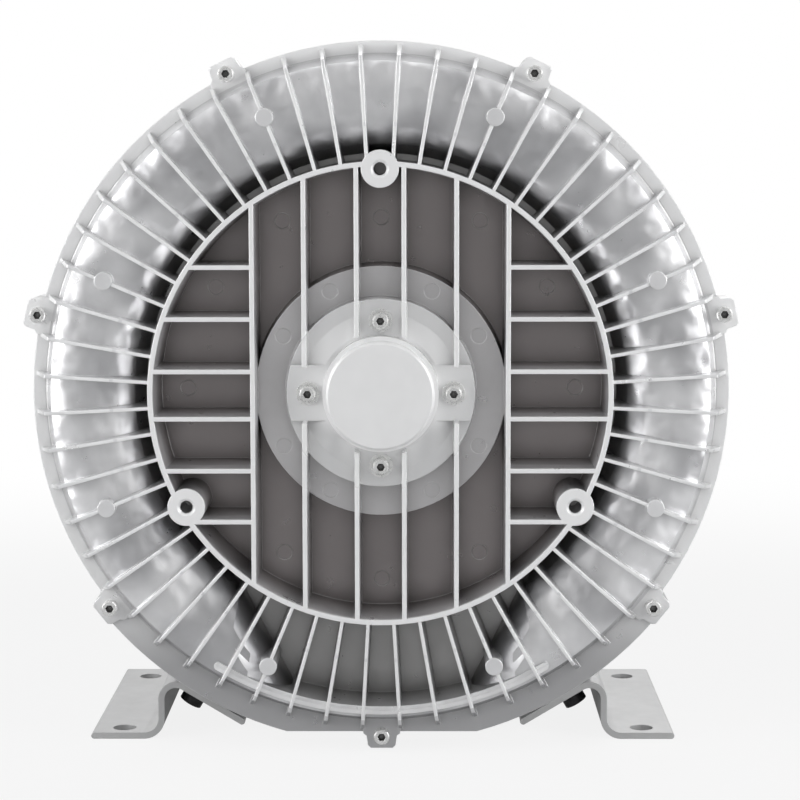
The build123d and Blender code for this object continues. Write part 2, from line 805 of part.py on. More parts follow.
def rear_housing():
    casting = bulge_section(True, [
        (housing_wall_radius, mirrored(rim_front_depth)),
        (housing_wall_radius, parting_depth + housing_rim_length),
        (rim_radius, parting_depth + housing_rim_length), (rim_radius, parting_depth)])
    rim_end = parting_depth + housing_rim_length
    floor_depth = mirrored(ring_depth) - 1
    seat_ring = Circle(motor_seat_outer_radius) - Circle(motor_seat_inner_radius)
    seat = slab(seat_ring, floor_depth, motor_seat_depth)
    web = Pos(0, front_y + (floor_depth + motor_seat_depth) / 2, 0) * Box(
        2 * ring_inner_radius, motor_seat_depth - floor_depth, housing_web)
    webs = [at_angle(angle) * web for angle in ring_of(housing_web_count // 2, 22.5)]
    inside = bar(motor_seat_inner_radius, floor_depth, motor_seat_depth + 1)
    middle = (seat + webs) - inside
    additions = [middle, bar(housing_hub_radius, floor_depth, seal_depth + seal_width)]
    additions += [bar(motor_lug_radius, floor_depth, motor_seat_depth, x, z) for x, z in motor_bolt_places()]
    additions += lugs(parting_depth, rim_end) + [lower_rim(parting_depth, rim_end)]
    for side in (-1, 1):
        x, z = port_place(side)
        pad = at_port(side, silencer_outline())
        additions.append(slab(pad, port_pad_depth - port_pad_thickness, port_pad_depth))
        additions.append(bar(silencer_radius - silencer_wall, cavity_back_depth + 1, port_pad_depth, x, z))
    additions += [foot_pad(angle) for angle in foot_angles()]
    additions += radial_ribs(rear_rib_count, True)
    casting = casting + additions
    casting = casting - channel_cut(True, port_angle)
    casting = casting - bar(channel_outer_radius, parting_depth - 1, cavity_back_depth)
    cuts = [bar(shaft_seal_radius + 1, parting_depth, port_pad_depth)]
    cuts.append(bar(seal_outside + slide_gap, seal_depth, port_pad_depth))
    for side in (-1, 1):
        x, z = port_place(side)
        cuts.append(bar(port_bore_radius, mirrored(channel_centre_depth), port_pad_depth + 1, x, z))
        for x, z in silencer_screw_places(side):
            end = port_pad_depth - silencer_screw_length + silencer_flange - tap_spare
            cuts.append(bar(silencer_screw_radius + slide_gap, end, port_pad_depth + 1, x, z))
    for x, z in motor_bolt_places():
        end = motor_seat_depth - motor_bolt_length + frame_flange_thickness - tap_spare
        cuts.append(bar(motor_bolt_radius + slide_gap, end, motor_seat_depth + 1, x, z))
    for angle in lug_angles():
        x, z = polar(lug_screw_circle, angle)
        cuts.append(bar(lug_screw_radius + slide_gap, parting_depth - 1, rim_end + 1, x, z))
    for angle in foot_angles():
        bolt_end = foot_seat_radius + foot_sheet - foot_bolt_length
        for depth in foot_bolt_depths():
            hole = foot_bolt_radius + slide_gap
            cuts.append(radial_bar(hole, bolt_end - 1, foot_seat_radius + 1, angle, depth))
    cuts.append(rim_trim())
    return raised(casting - cuts)


# --- Cap, retainer and bearings -------------------------------------------------------


def bearing_cap():
    """Turned cup over the bearing bore, pushed in against the outer ring."""
    back = front_bearing_depth
    wide = front_bearing_outside - slide_gap
    return raised(turned([
        (0, -cap_stand), (cap_radius - cap_edge, -cap_stand), (cap_radius, -cap_stand + cap_edge),
        (cap_radius, cap_step_depth), (wide, cap_step_depth), (wide, back),
        (cap_radius - cap_wall, back), (cap_radius - cap_wall, -cap_stand + cap_wall),
        (0, -cap_stand + cap_wall)]))


def bearing_retainer():
    """Ring behind the front bearing, tapped for the four hub screws."""
    inner = front_bearing_outside - retainer_lip
    start = retainer_depth
    ring = bar(retainer_radius, start, start + retainer_thickness) - bar(inner, start, parting_depth)
    holes = [bar(hub_screw_radius + slide_gap, start, parting_depth, x, z) for x, z in hub_screw_places()]
    return raised(ring - holes)


def race_groove(pitch, ball, middle):
    """What the ball track takes out of a bearing ring."""
    centre = station(pitch, middle)
    return revolve(Pos(*centre) * Circle(ball + race_gap), Axis.Y)


def bearing_outer(bore, outside, width, start, ball):
    pitch = (bore + outside) / 2
    ring = bar(outside - slide_gap, start, start + width) - bar(outside - race_wall, start, start + width)
    return raised(ring - race_groove(pitch, ball, start + width / 2))


def bearing_inner(bore, outside, width, start, ball):
    pitch = (bore + outside) / 2
    ring = bar(bore + race_wall, start, start + width) - bar(bore + slide_gap, start, start + width)
    return raised(ring - race_groove(pitch, ball, start + width / 2))


def bearing_balls(bore, outside, width, start, ball, count):
    """The balls with the cage that carries them round."""
    pitch = (bore + outside) / 2
    middle = start + width / 2
    cage = bar(pitch + cage_wall, middle - cage_half_width, middle + cage_half_width)
    cage -= bar(pitch - cage_wall, middle - cage_half_width, middle + cage_half_width)
    one = Pos(pitch, front_y + middle, 0) * Sphere(ball)
    return raised(cage + [at_angle(angle) * one for angle in ring_of(count, 90)])


front_bearing = (front_bearing_bore, front_bearing_outside, front_bearing_width, front_bearing_depth,
                 front_ball_radius)
rear_bearing = (rear_bearing_bore, rear_bearing_outside, rear_bearing_width, rear_bearing_depth,
                rear_ball_radius)


def wave_spring():
    """Spring ring that pushes on the rear bearing's outer ring."""
    start = rear_bearing_depth + rear_bearing_width
    outer = rear_bearing_outside - liner_gap
    end = start + spring_length
    return raised(bar(outer, start, end) - bar(outer - spring_width, start, end))


# --- Rotor ----------------------------------------------------------------------------


def impeller():
    """Double-sided vane wheel: hub, web, sealing land and vanes on a sharp middle web."""
    start = parting_depth + running_gap
    end = start + impeller_width
    middle = (start + end) / 2
    web = impeller_web / 2
    tip = blade_web_tip / 2
    outer = channel_outer_radius - running_gap
    inner = channel_inner_radius
    wheel = turned([
        (impeller_bore + slide_gap, start), (impeller_hub_radius, start),
        (impeller_hub_radius + hub_draft, middle - web),
        (impeller_land_radius, middle - web), (impeller_land_radius, start), (inner, start),
        (outer, middle - tip), (outer, middle + tip), (inner, end), (impeller_land_radius, end),
        (impeller_land_radius, middle + web), (impeller_hub_radius + hub_draft, middle + web),
        (impeller_hub_radius, end), (impeller_bore + slide_gap, end)])
    blank = Pos((inner + outer) / 2, front_y + middle, 0) * Box(
        outer - inner, impeller_width, blade_thickness)
    wheel = wheel + [at_angle(angle) * blank for angle in ring_of(blade_count)]
    wheel = wheel & bar(outer, start, end)
    keyway = Pos(0, front_y + middle, impeller_bore) * Box(
        key_width + 2 * slide_gap, impeller_width, key_height)
    return raised(wheel - keyway)


def key_block(clearance):
    start = parting_depth + running_gap + (impeller_width - key_length) / 2
    size = Box(key_width + 2 * clearance, key_length + 2 * clearance, key_height - key_play + clearance)
    return Pos(0, front_y + start + key_length / 2, impeller_bore) * size


def impeller_key():
    return raised(key_block(0))


def shaft():
    hub_start = parting_depth + running_gap
    hub_end = hub_start + impeller_width
    core_end = stator_depth + stator_length + winding_length - core_step_lead
    tail_end = shield_depth + shield_thickness + fan_seat_length
    body = turned([
        (0, shaft_front_depth), (front_bearing_bore, shaft_front_depth), (front_bearing_bore, hub_start),
        (impeller_bore, hub_start), (impeller_bore, hub_end), (shaft_seal_radius, hub_end),
        (shaft_seal_radius, motor_seat_depth), (shaft_core_radius, motor_seat_depth),
        (shaft_core_radius, core_end), (shaft_neck_radius, core_end),
        (shaft_neck_radius, rear_bearing_depth), (rear_bearing_bore, rear_bearing_depth),
        (rear_bearing_bore, rear_bearing_depth + rear_bearing_width),
        (fan_seat_radius, rear_bearing_depth + rear_bearing_width),
        (fan_seat_radius, tail_end), (0, tail_end)])
    return raised(body - key_block(slide_gap))


def spacer_sleeve():
    """Sleeve between the front bearing and the impeller hub."""
    start = retainer_depth
    end = parting_depth + running_gap
    sleeve = bar(front_bearing_bore + race_wall, start, end)
    return raised(sleeve - bar(front_bearing_bore + slide_gap, start, end))


def lock_nut():
    """Slotted nut that clamps bearing, sleeve and impeller on the shaft."""
    start = front_bearing_depth - nut_width
    end = front_bearing_depth
    nut = bar(nut_outside, start, end) - bar(front_bearing_bore + slide_gap, start, end)
    slot = Pos(nut_outside, front_y + start + nut_width / 2, 0) * Box(
        2 * nut_slot_depth, nut_width, nut_slot_width)
    return raised(nut - [at_angle(angle) * slot for angle in ring_of(4)])


def shaft_seal():
    """Lip seal where the shaft leaves the impeller chamber."""
    end = seal_depth + seal_width
    lip = shaft_seal_radius + slide_gap
    return raised(turned([
        (seal_outside, seal_depth), (seal_outside, end), (seal_outside - seal_shell, end),
        (seal_outside - seal_shell, seal_depth + seal_shell), (lip + seal_lip, seal_depth + seal_shell),
        (lip, end - seal_lip), (lip, seal_depth)]))


def rotor_core():
    outer = stator_bore - air_gap
    end = stator_depth + stator_length
    return raised(bar(outer, stator_depth, end) - bar(shaft_core_radius + slide_gap, stator_depth, end))


def rotor_end_rings():
    outer = stator_bore - air_gap - end_ring_inset
    rings = []
    for start in (stator_depth - end_ring_length, stator_depth + stator_length):
        end = start + end_ring_length
        rings.append(raised(bar(outer, start, end) - bar(outer - end_ring_wall, start, end)))
    return rings


def cooling_fan():
    """Radial fan for cooling air, open towards the motor."""
    start = shield_depth + shield_thickness + fan_offset
    back = start + fan_blade_length
    hub = bar(fan_hub_radius, start - fan_hub_lead, back)
    disc = bar(fan_radius, back - fan_disc, back)
    blade = Pos((fan_hub_radius + fan_radius) / 2 - 1, front_y + (start + back) / 2, 0) * Box(
        fan_radius - fan_hub_radius, back - start, fan_blade_thickness)
    blades = [at_angle(angle) * blade for angle in ring_of(fan_blade_count, fan_blade_first_angle)]
    wheel = (hub + disc) + blades
    return raised(wheel - bar(fan_seat_radius + slide_gap, start - fan_hub_lead - 1, back + 1))


def fan_clip():
    """Retaining ring behind the fan."""
    start = shield_depth + shield_thickness + fan_offset + fan_blade_length
    end = start + clip_thickness
    ring = bar(fan_seat_radius + clip_width, start, end)
    return raised(ring - bar(fan_seat_radius + slide_gap, start, end))


# --- Motor ----------------------------------------------------------------------------


def motor_frame():
    """Finned barrel with a front flange and a flat seat for the terminal box."""
    start = motor_seat_depth
    end = start + frame_length
    flange_end = start + frame_flange_thickness
    barrel = bar(frame_radius, start, end) + bar(frame_flange_radius, start, flange_end)
    lugs_here = [bar(motor_lug_radius, start, flange_end, x, z) for x, z in motor_bolt_places()]
    pockets = frame_radius - fin_root
    fin = Pos((pockets + fin_radius) / 2, front_y + start + frame_length / 2, 0) * Box(
        fin_radius - pockets, frame_length, fin_thickness)
    box_angle = degrees(atan2(box_width / 2, box_seat_height))
    fins = [
        at_angle(angle) * fin for angle in ring_of(fin_count, fin_first_angle)
        if abs(angle - 90) > box_angle]
    seat = Pos(0, box_middle_y(), box_seat_height / 2) * Box(
        box_width - 2 * box_seat_inset, box_length - 2 * box_seat_inset, box_seat_height)
    bosses = [
        bar(shield_boss_radius, end - shield_screw_length, end, *polar(shield_screw_circle, angle))
        for angle in ring_of(4, 45)]
    frame = barrel + (lugs_here + fins + [seat] + bosses)
    cuts = [bar(frame_bore, start - 1, end + 1)]
    cuts += [bar(motor_bolt_radius + screw_clearance, start - 1, end, x, z) for x, z in motor_bolt_places()]
    relief = motor_bolt_radius * head_ratio + head_clearance
    cuts += [bar(relief, flange_end, flange_end + motor_bolt_relief, x, z) for x, z in motor_bolt_places()]
    tap_start = end - shield_screw_length + tap_spare
    cuts += [
        bar(shield_screw_radius + slide_gap, tap_start, end + 1, *polar(shield_screw_circle, angle))
        for angle in ring_of(4, 45)]
    wire_way = 2 * box_seat_height - frame_bore
    cuts.append(Pos(0, box_middle_y(), box_seat_height) * Cylinder(wire_hole_radius, wire_way))
    for x, y in box_screw_places():
        cuts.append(Pos(x, y, box_seat_height) * Cylinder(box_screw_radius + slide_gap, 2 * box_screw_length))
    return raised(frame - cuts)


def stator_core():
    end = stator_depth + stator_length
    return raised(bar(frame_bore - slide_gap, stator_depth, end) - bar(stator_bore, stator_depth, end))


def windings():
    heads = []
    for start in (stator_depth - winding_length, stator_depth + stator_length):
        end = start + winding_length
        heads.append(raised(bar(winding_outer_radius, start, end) - bar(winding_inner_radius, start, end)))
    return heads


def end_shield():
    """Rear end shield that carries the rear bearing."""
    start = shield_depth
    end = start + shield_thickness
    seat = rear_bearing_outside
    seat_end = rear_bearing_depth + rear_bearing_width + spring_length
    hub = seat + shield_hub_wall
    lip = seat - shield_lip
    register = frame_bore - slide_gap
    plate = turned([
        (hub, rear_bearing_depth), (hub, start), (frame_bore - register_wall, start),
        (frame_bore - register_wall, start - register_length), (register, start - register_length),
        (register, start), (fin_radius, start), (fin_radius, end), (lip, end), (lip, seat_end),
        (seat, seat_end), (seat, rear_bearing_depth)])
    holes = [
        bar(shield_screw_radius + screw_clearance, start - 1, end + 1, *polar(shield_screw_circle, a))
        for a in ring_of(4, 45)]
    ear_end = cowl_radius - cowl_wall - cowl_gap
    screw_depth = cowl_depth + cowl_overlap / 2
    ears = [radial_bar(cowl_ear_radius, fin_radius - 4, ear_end, a, screw_depth) for a in ring_of(4)]
    taps = [
        radial_bar(cowl_screw_radius + slide_gap, fin_radius - 8, cowl_radius, a, screw_depth)
        for a in ring_of(4)]
    return raised((plate + ears) - (holes + taps))


def fan_cowl():
    """Pressed cover over the fan with a grille of curved slots."""
    start = cowl_depth
    back = start + cowl_length
    inside = cowl_radius - cowl_wall
    shell = turned([
        (cowl_radius, start), (cowl_radius, back - cowl_shoulder), (cowl_radius - cowl_shoulder, back),
        (0, back), (0, back - cowl_wall), (cowl_radius - cowl_shoulder - cowl_wall / 2, back - cowl_wall),
        (inside, back - cowl_shoulder - cowl_wall / 2), (inside, start)])
    reach = 2 * cowl_radius
    spokes = [Rot(0, 0, angle) * Rectangle(reach, grille_spoke) for angle in ring_of(grille_spoke_count // 2)]
    bars = spokes[0] + spokes[1:]
    slots = []
    for i in range(grille_ring_count):
        inner = grille_first_radius + i * grille_pitch
        slots.append(slab((Circle(inner + grille_slot) - Circle(inner)) - bars, back - 3, back + 1))
    screws = [
        radial_bar(cowl_screw_radius + screw_clearance, cowl_radius - 4, cowl_radius + 2, a,
                   cowl_depth + cowl_overlap / 2) for a in ring_of(4)]
    return raised(shell - (slots + screws))


# --- Terminal box ---------------------------------------------------------------------


def box_middle_y():
    return front_y + motor_seat_depth + box_start + box_length / 2


def box_screw_places():
    x = box_width / 2 - box_screw_inset
    y = box_length / 2 - box_screw_inset
    return [(sx * x, box_middle_y() + sy * y) for sx in (-1, 1) for sy in (-1, 1)]


def lid_screw_places():
    x = box_width / 2 - lid_screw_inset
    y = box_length / 2 - lid_screw_inset
    return [(sx * x, box_middle_y() + sy * y) for sx in (-1, 1) for sy in (-1, 1)]


def box_plan(inset):
    return Pos(0, box_middle_y()) * RectangleRounded(
        box_width - 2 * inset, box_length - 2 * inset, box_corner - inset)


def upright(outline, low, high):
    """Extrude a plan upward between two heights above the shaft."""
    return extrude(Pos(0, 0, low) * outline, high - low)


def terminal_box():
    low = box_seat_height
    high = low + box_height
    shell = upright(box_plan(0), low, high) - upright(box_plan(box_wall), low + box_wall, high + 1)
    shell = shell + [
        Pos(x, y, (low + high) / 2) * Cylinder(lid_post_radius, box_height) for x, y in lid_screw_places()]
    entry = low + box_height / 2
    cuts = [
        Pos(x, y, high) * Cylinder(lid_screw_radius + slide_gap, 2 * lid_screw_length)
        for x, y in lid_screw_places()]
    cuts += [
        Pos(x, y, low) * Cylinder(box_screw_radius + screw_clearance, 3 * box_wall)
        for x, y in box_screw_places()]
    cuts.append(Pos(0, box_middle_y(), low) * Cylinder(wire_hole_radius, 3 * box_wall))
    for side in (-1, 1):
        hole = Pos(side * box_width / 2, box_middle_y(), entry) * Rot(0, 90, 0)
        cuts.append(hole * Cylinder(gland_thread_radius + slide_gap, 4 * box_wall))
    return raised(shell - cuts)


def lid_plan():
    """The rim of the box with its four screw posts."""
    posts = [Pos(x, y) * Circle(lid_post_radius) for x, y in lid_screw_places()]
    return (box_plan(0) - box_plan(box_wall)) + posts


def lid_screw_holes(low, high):
    radius = lid_screw_radius + screw_clearance
    middle = (low + high) / 2
    return [Pos(x, y, middle) * Cylinder(radius, high - low + 2) for x, y in lid_screw_places()]


def lid_gasket():
    low = box_seat_height + box_height
    high = low + box_gasket
    return raised(upright(lid_plan(), low, high) - lid_screw_holes(low, high))


def terminal_lid():
    low = box_seat_height + box_height + box_gasket
    high = low + lid_height
    shell = upright(box_plan(0), low, high)
    shell = chamfer(shell.edges().group_by(Axis.Z)[-1], lid_edge)
    shell -= upright(box_plan(box_wall), low - 1, high - box_wall)
    post = Pos(0, 0, (low + high - 1) / 2) * Cylinder(lid_post_radius, lid_height - 1)
    posts = [Pos(x, y, 0) * post for x, y in lid_screw_places()]
    return raised((shell + posts) - lid_screw_holes(low, high))


def lid_screws():
    seat = box_seat_height + box_height + box_gasket + lid_height
    screws = []
    for x, y in lid_screw_places():
        head = Pos(x, y, seat + lid_head_height / 2) * Cylinder(lid_head_radius, lid_head_height)
        slot = Pos(x, y, seat + lid_head_height) * Box(
            2 * lid_head_radius + 1, lid_slot_width, lid_slot_depth)
        shank = Pos(x, y, seat - lid_screw_length / 2) * Cylinder(lid_screw_radius, lid_screw_length)
        screws.append(raised(head - slot + shank))
    return screws


def box_screws():
    seat = box_seat_height + box_wall
    screws = []
    for x, y in box_screw_places():
        head = Pos(x, y, seat + box_head_height / 2) * Cylinder(box_head_radius, box_head_height)
        shank = Pos(x, y, seat - box_screw_length / 2) * Cylinder(box_screw_radius, box_screw_length)
        screws.append(raised(head + shank))
    return screws


def stud_places():
    places = []
    for column in range(stud_columns):
        for row in range(stud_rows):
            x = (column - (stud_columns - 1) / 2) * stud_pitch
            y = (row - (stud_rows - 1) / 2) * stud_pitch
            places.append((x, box_middle_y() + y + board_shift))
    return places


def terminal_board():
    """Moulded board on two feet, with a barrier between the stud columns."""
    low = box_seat_height + box_wall
    middle_y = box_middle_y() + board_shift
    top = low + board_stand + board_thickness
    board = Pos(0, middle_y, top - board_thickness / 2) * Box(board_length, board_width, board_thickness)
    feet = [
        Pos(side * (board_length - board_foot_width) / 2, middle_y, low + board_stand / 2) * Box(
            board_foot_width, board_width, board_stand) for side in (-1, 1)]
    barriers = [
        Pos(side * stud_pitch / 2, middle_y, top + barrier_height / 2) * Box(
            barrier_thickness, board_width, barrier_height) for side in (-1, 1)]
    hole_depth = board_thickness - stud_foot
    holes = [Pos(x, y, top) * Cylinder(stud_radius + slide_gap, 2 * hole_depth) for x, y in stud_places()]
    return raised((board + (feet + barriers)) - holes)


def terminal_studs():
    """Six threaded studs, each with its nut."""
    top = box_seat_height + box_wall + board_stand + board_thickness
    foot = top - board_thickness + stud_foot
    studs = []
    for x, y in stud_places():
        rod = Pos(x, y, foot + stud_height / 2) * Cylinder(stud_radius, stud_height)
        nut = Pos(0, 0, top) * extrude(Pos(x, y) * RegularPolygon(2 * stud_radius, 6), stud_nut_height)
        studs.append(raised(rod + nut))
    return studs


def side_axis(side, start):
    """Plane on a side wall of the terminal box, its normal pointing outward."""
    place = (side * (box_width / 2 + start), box_middle_y(), box_seat_height + box_height / 2)
    return Plane(origin=place, x_dir=(0, 1, 0), z_dir=(side, 0, 0))


def cable_gland():
    """Cable gland: thread through the wall, hexagon body and domed nut."""
    neck_start = gland_body_length
    nut_start = neck_start + gland_neck_length
    dome_start = nut_start + gland_nut_length
    whole = gland_thread_length + dome_start + gland_dome_length
    hexagon = RegularPolygon(gland_hex_radius, 6)
    inner = side_axis(1, -gland_thread_length)
    thread = extrude(inner * Circle(gland_thread_radius), gland_thread_length)
    body = extrude(side_axis(1, 0) * hexagon, gland_body_length)
    neck_face = side_axis(1, neck_start) * Circle(gland_thread_radius + gland_neck_step)
    neck = extrude(neck_face, gland_neck_length)
    nut = extrude(side_axis(1, nut_start) * hexagon, gland_nut_length)
    dome_face = side_axis(1, dome_start) * Circle(gland_hex_radius - gland_dome_inset)
    dome = extrude(dome_face, gland_dome_length, taper=gland_dome_taper)
    bore = extrude(inner * Circle(gland_bore_radius), whole + 1)
    return raised(thread + [body, neck, nut, dome] - bore)


def blanking_plug():
    """Hexagon plug in the unused cable entry."""
    thread = extrude(side_axis(-1, -gland_thread_length) * Circle(gland_thread_radius), gland_thread_length)
    head = extrude(side_axis(-1, 0) * RegularPolygon(gland_hex_radius, 6), plug_head_length)
    return raised(thread + head)


# --- Silencers and ports --------------------------------------------------------------


def silencer(side):
    """Cast tube that carries the air from a port back under the motor."""
    x, z = port_place(side)
    start = port_pad_depth
    end = silencer_back_depth
    tube = bar(silencer_radius, start, end, x, z)
    front = slab(at_port(side, silencer_outline()), start, start + silencer_flange)
    back = slab(port_flange_plan(side), end - silencer_flange, end)
    body = tube + [front, back]
    cuts = [
        bar(silencer_radius - silencer_wall, start + silencer_end_wall, end + 1, x, z),
        bar(port_bore_radius, start - 1, end, x, z)]
    cuts += [
        bar(silencer_screw_radius + screw_clearance, start - 1, start + silencer_flange + 1, sx, sz)
        for sx, sz in silencer_screw_places(side)]
    cuts += [
        bar(silencer_screw_radius + slide_gap, end - silencer_flange - 1, end + 1, sx, sz)
        for sx, sz in port_screw_places(side)]
    relief = head_ratio * silencer_screw_radius + head_clearance
    cuts += [
        bar(relief, start + silencer_flange, start + silencer_flange + silencer_relief, sx, sz)
        for sx, sz in silencer_screw_places(side)]
    return raised(body - cuts)


def silencer_foam(side):
    """Sound-absorbing liner inside a silencer."""
    x, z = port_place(side)
    start = port_pad_depth + silencer_end_wall + liner_gap
    end = silencer_back_depth - liner_gap
    outer = silencer_radius - silencer_wall - liner_gap
    return raised(bar(outer, start, end, x, z) - bar(foam_bore, start, end, x, z))


def port_screw_places(side):
    x, z = port_place(side)
    places = []
    for angle in ring_of(4, 45):
        dx, dz = polar(silencer_screw_circle, angle)
        places.append((x + dx, z + dz))
    return places


def port_flange_plan(side):
    reach = silencer_screw_circle * cos(radians(45)) + silencer_ear_radius
    square = RectangleRounded(2 * reach, 2 * reach, silencer_ear_radius)
    return Pos(*port_place(side)) * square


def port_gasket_ring(side):
    x, z = port_place(side)
    start = silencer_back_depth
    end = start + port_gasket
    ring = slab(port_flange_plan(side), start, end) - bar(silencer_radius - silencer_wall, start, end, x, z)
    hole = silencer_screw_radius + screw_clearance
    holes = [bar(hole, start, end, *place) for place in port_screw_places(side)]
    return raised(ring - holes)


def port_flange(side):
    """Square flange with a pipe-threaded neck that opens backward."""
    x, z = port_place(side)
    start = silencer_back_depth + port_gasket
    plate = slab(port_flange_plan(side), start, start + port_flange_thickness)
    neck = bar(port_neck_radius, start, start + port_length, x, z)
    cuts = [bar(port_thread_radius, start - 1, start + port_length + 1, x, z)]
    cuts += [
        bar(silencer_screw_radius + screw_clearance, start - 1, start + port_flange_thickness + 1, *place)
        for place in port_screw_places(side)]
    relief = head_ratio * silencer_screw_radius + head_clearance
    cuts += [
        bar(relief, start + port_flange_thickness, start + port_length + 1, *place)
        for place in port_screw_places(side)]
    return raised((plate + neck) - cuts)


# --- Feet -----------------------------------------------------------------------------


def foot(side):
    """Bent sheet foot: base on the floor, riser, and a flange square to the housing's radius."""
    half = foot_sheet / 2
    tilt = radians(foot_seat_angle)
    seat = foot_seat_radius + half

    def flange_height(x):
        return shaft_height - (seat - x * sin(tilt)) / cos(tilt)

    path = FilletPolyline(
        (foot_outer_x, half), (foot_riser_x, half), (foot_riser_x, flange_height(foot_riser_x)),
        (foot_inner_x, flange_height(foot_inner_x)), radius=(foot_base_bend, foot_top_bend))
    sheet = make_face(offset(path, half, side=Side.BOTH, kind=Kind.INTERSECTION))
    strip = extrude(Plane.XZ.offset(-foot_front_y) * sheet, foot_length, dir=(0, 1, 0))
    cuts = [
        Pos(foot_hole_x, sy * foot_hole_y, half) * Cylinder(foot_hole_radius, 4 * foot_sheet)
        for sy in (-1, 1)]
    cuts += [
        raised(radial_bar(foot_bolt_radius + screw_clearance, foot_seat_radius - 2, foot_seat_radius + 8,
                          -90 + foot_seat_angle, depth)) for depth in foot_bolt_depths()]
    bracket = strip - cuts
    return bracket if side > 0 else mirror(bracket, Plane.YZ)


def foot_screws():
    """Socket cap screws that hold the housing on its feet."""
    screws = []
    seat = foot_seat_radius + foot_sheet + foot_washer_thickness
    head = 2 * foot_bolt_radius
    for angle in foot_angles():
        for depth in foot_bolt_depths():
            inner_end = foot_seat_radius + foot_sheet - foot_bolt_length
            screw = radial_bar(foot_bolt_radius, inner_end, seat, angle, depth)
            screw += radial_bar(foot_head_ratio * foot_bolt_radius, seat, seat + head, angle, depth)
            socket = socket_ratio * foot_bolt_radius
            screw -= radial_bar(socket, seat + head / 2, seat + head + 1, angle, depth)
            screws.append(raised(screw))
    return screws


def foot_washers():
    start = foot_seat_radius + foot_sheet
    end = start + foot_washer_thickness
    washers = []
    for angle in foot_angles():
        for depth in foot_bolt_depths():
            disc = radial_bar(2 * foot_bolt_radius, start, end, angle, depth)
            hole = radial_bar(foot_bolt_radius + slide_gap, start - 1, end + 1, angle, depth)
            washers.append(raised(disc - hole))
    return washers


# --- Screws ---------------------------------------------------------------------------


def cover_screws():
    head = lug_front_depth - 2 * lug_screw_radius
    return [
        raised(cap_screw(lug_screw_radius, lug_screw_length, head, *polar(lug_screw_circle, angle)))
        for angle in lug_angles()]


def hub_screws():
    head = hub_disc_depth - 2 * hub_washer_thickness - 2 * hub_screw_radius
    return [raised(cap_screw(hub_screw_radius, hub_screw_length, head, x, z)) for x, z in hub_screw_places()]


def hub_washers():
    """A flat washer and a spring washer under each hub screw's head."""
    middle = hub_disc_depth - hub_washer_thickness
    start = middle - hub_washer_thickness
    hole = hub_screw_radius + slide_gap
    washers = []
    for x, z in hub_screw_places():
        flat = bar(hub_washer_ratio * hub_screw_radius, middle, hub_disc_depth, x, z)
        spring = bar(spring_washer_ratio * hub_screw_radius, start, middle, x, z)
        opening = bar(hole, start - 1, hub_disc_depth + 1, x, z)
        washers += [raised(flat - opening), raised(spring - opening)]
    return washers


def motor_bolts():
    seat = motor_seat_depth + frame_flange_thickness
    return [
        raised(reversed_screw(motor_bolt_radius, motor_bolt_length, seat, x, z))
        for x, z in motor_bolt_places()]


def shield_screws():
    seat = shield_depth + shield_thickness
    length = shield_thickness + shield_screw_length - 2 * tap_spare
    return [
        raised(reversed_screw(shield_screw_radius, length, seat, *polar(shield_screw_circle, angle)))
        for angle in ring_of(4, 45)]


def silencer_screws():
    seat = port_pad_depth + silencer_flange
    return [
        raised(reversed_screw(silencer_screw_radius, silencer_screw_length, seat, x, z))
        for side in (-1, 1) for x, z in silencer_screw_places(side)]


def port_screws():
    seat = silencer_back_depth + port_gasket + port_flange_thickness
    return [
        raised(reversed_screw(silencer_screw_radius, silencer_screw_length, seat, x, z))
        for side in (-1, 1) for x, z in port_screw_places(side)]


def cowl_screws():
    screws = []
    for angle in ring_of(4):
        depth = cowl_depth + cowl_overlap / 2
        shank = radial_bar(cowl_screw_radius, fin_radius - cowl_screw_reach, cowl_radius, angle, depth)
        head = radial_bar(2 * cowl_screw_radius, cowl_radius, cowl_radius + cowl_head_height, angle, depth)
        screws.append(raised(shank + head))
    return screws


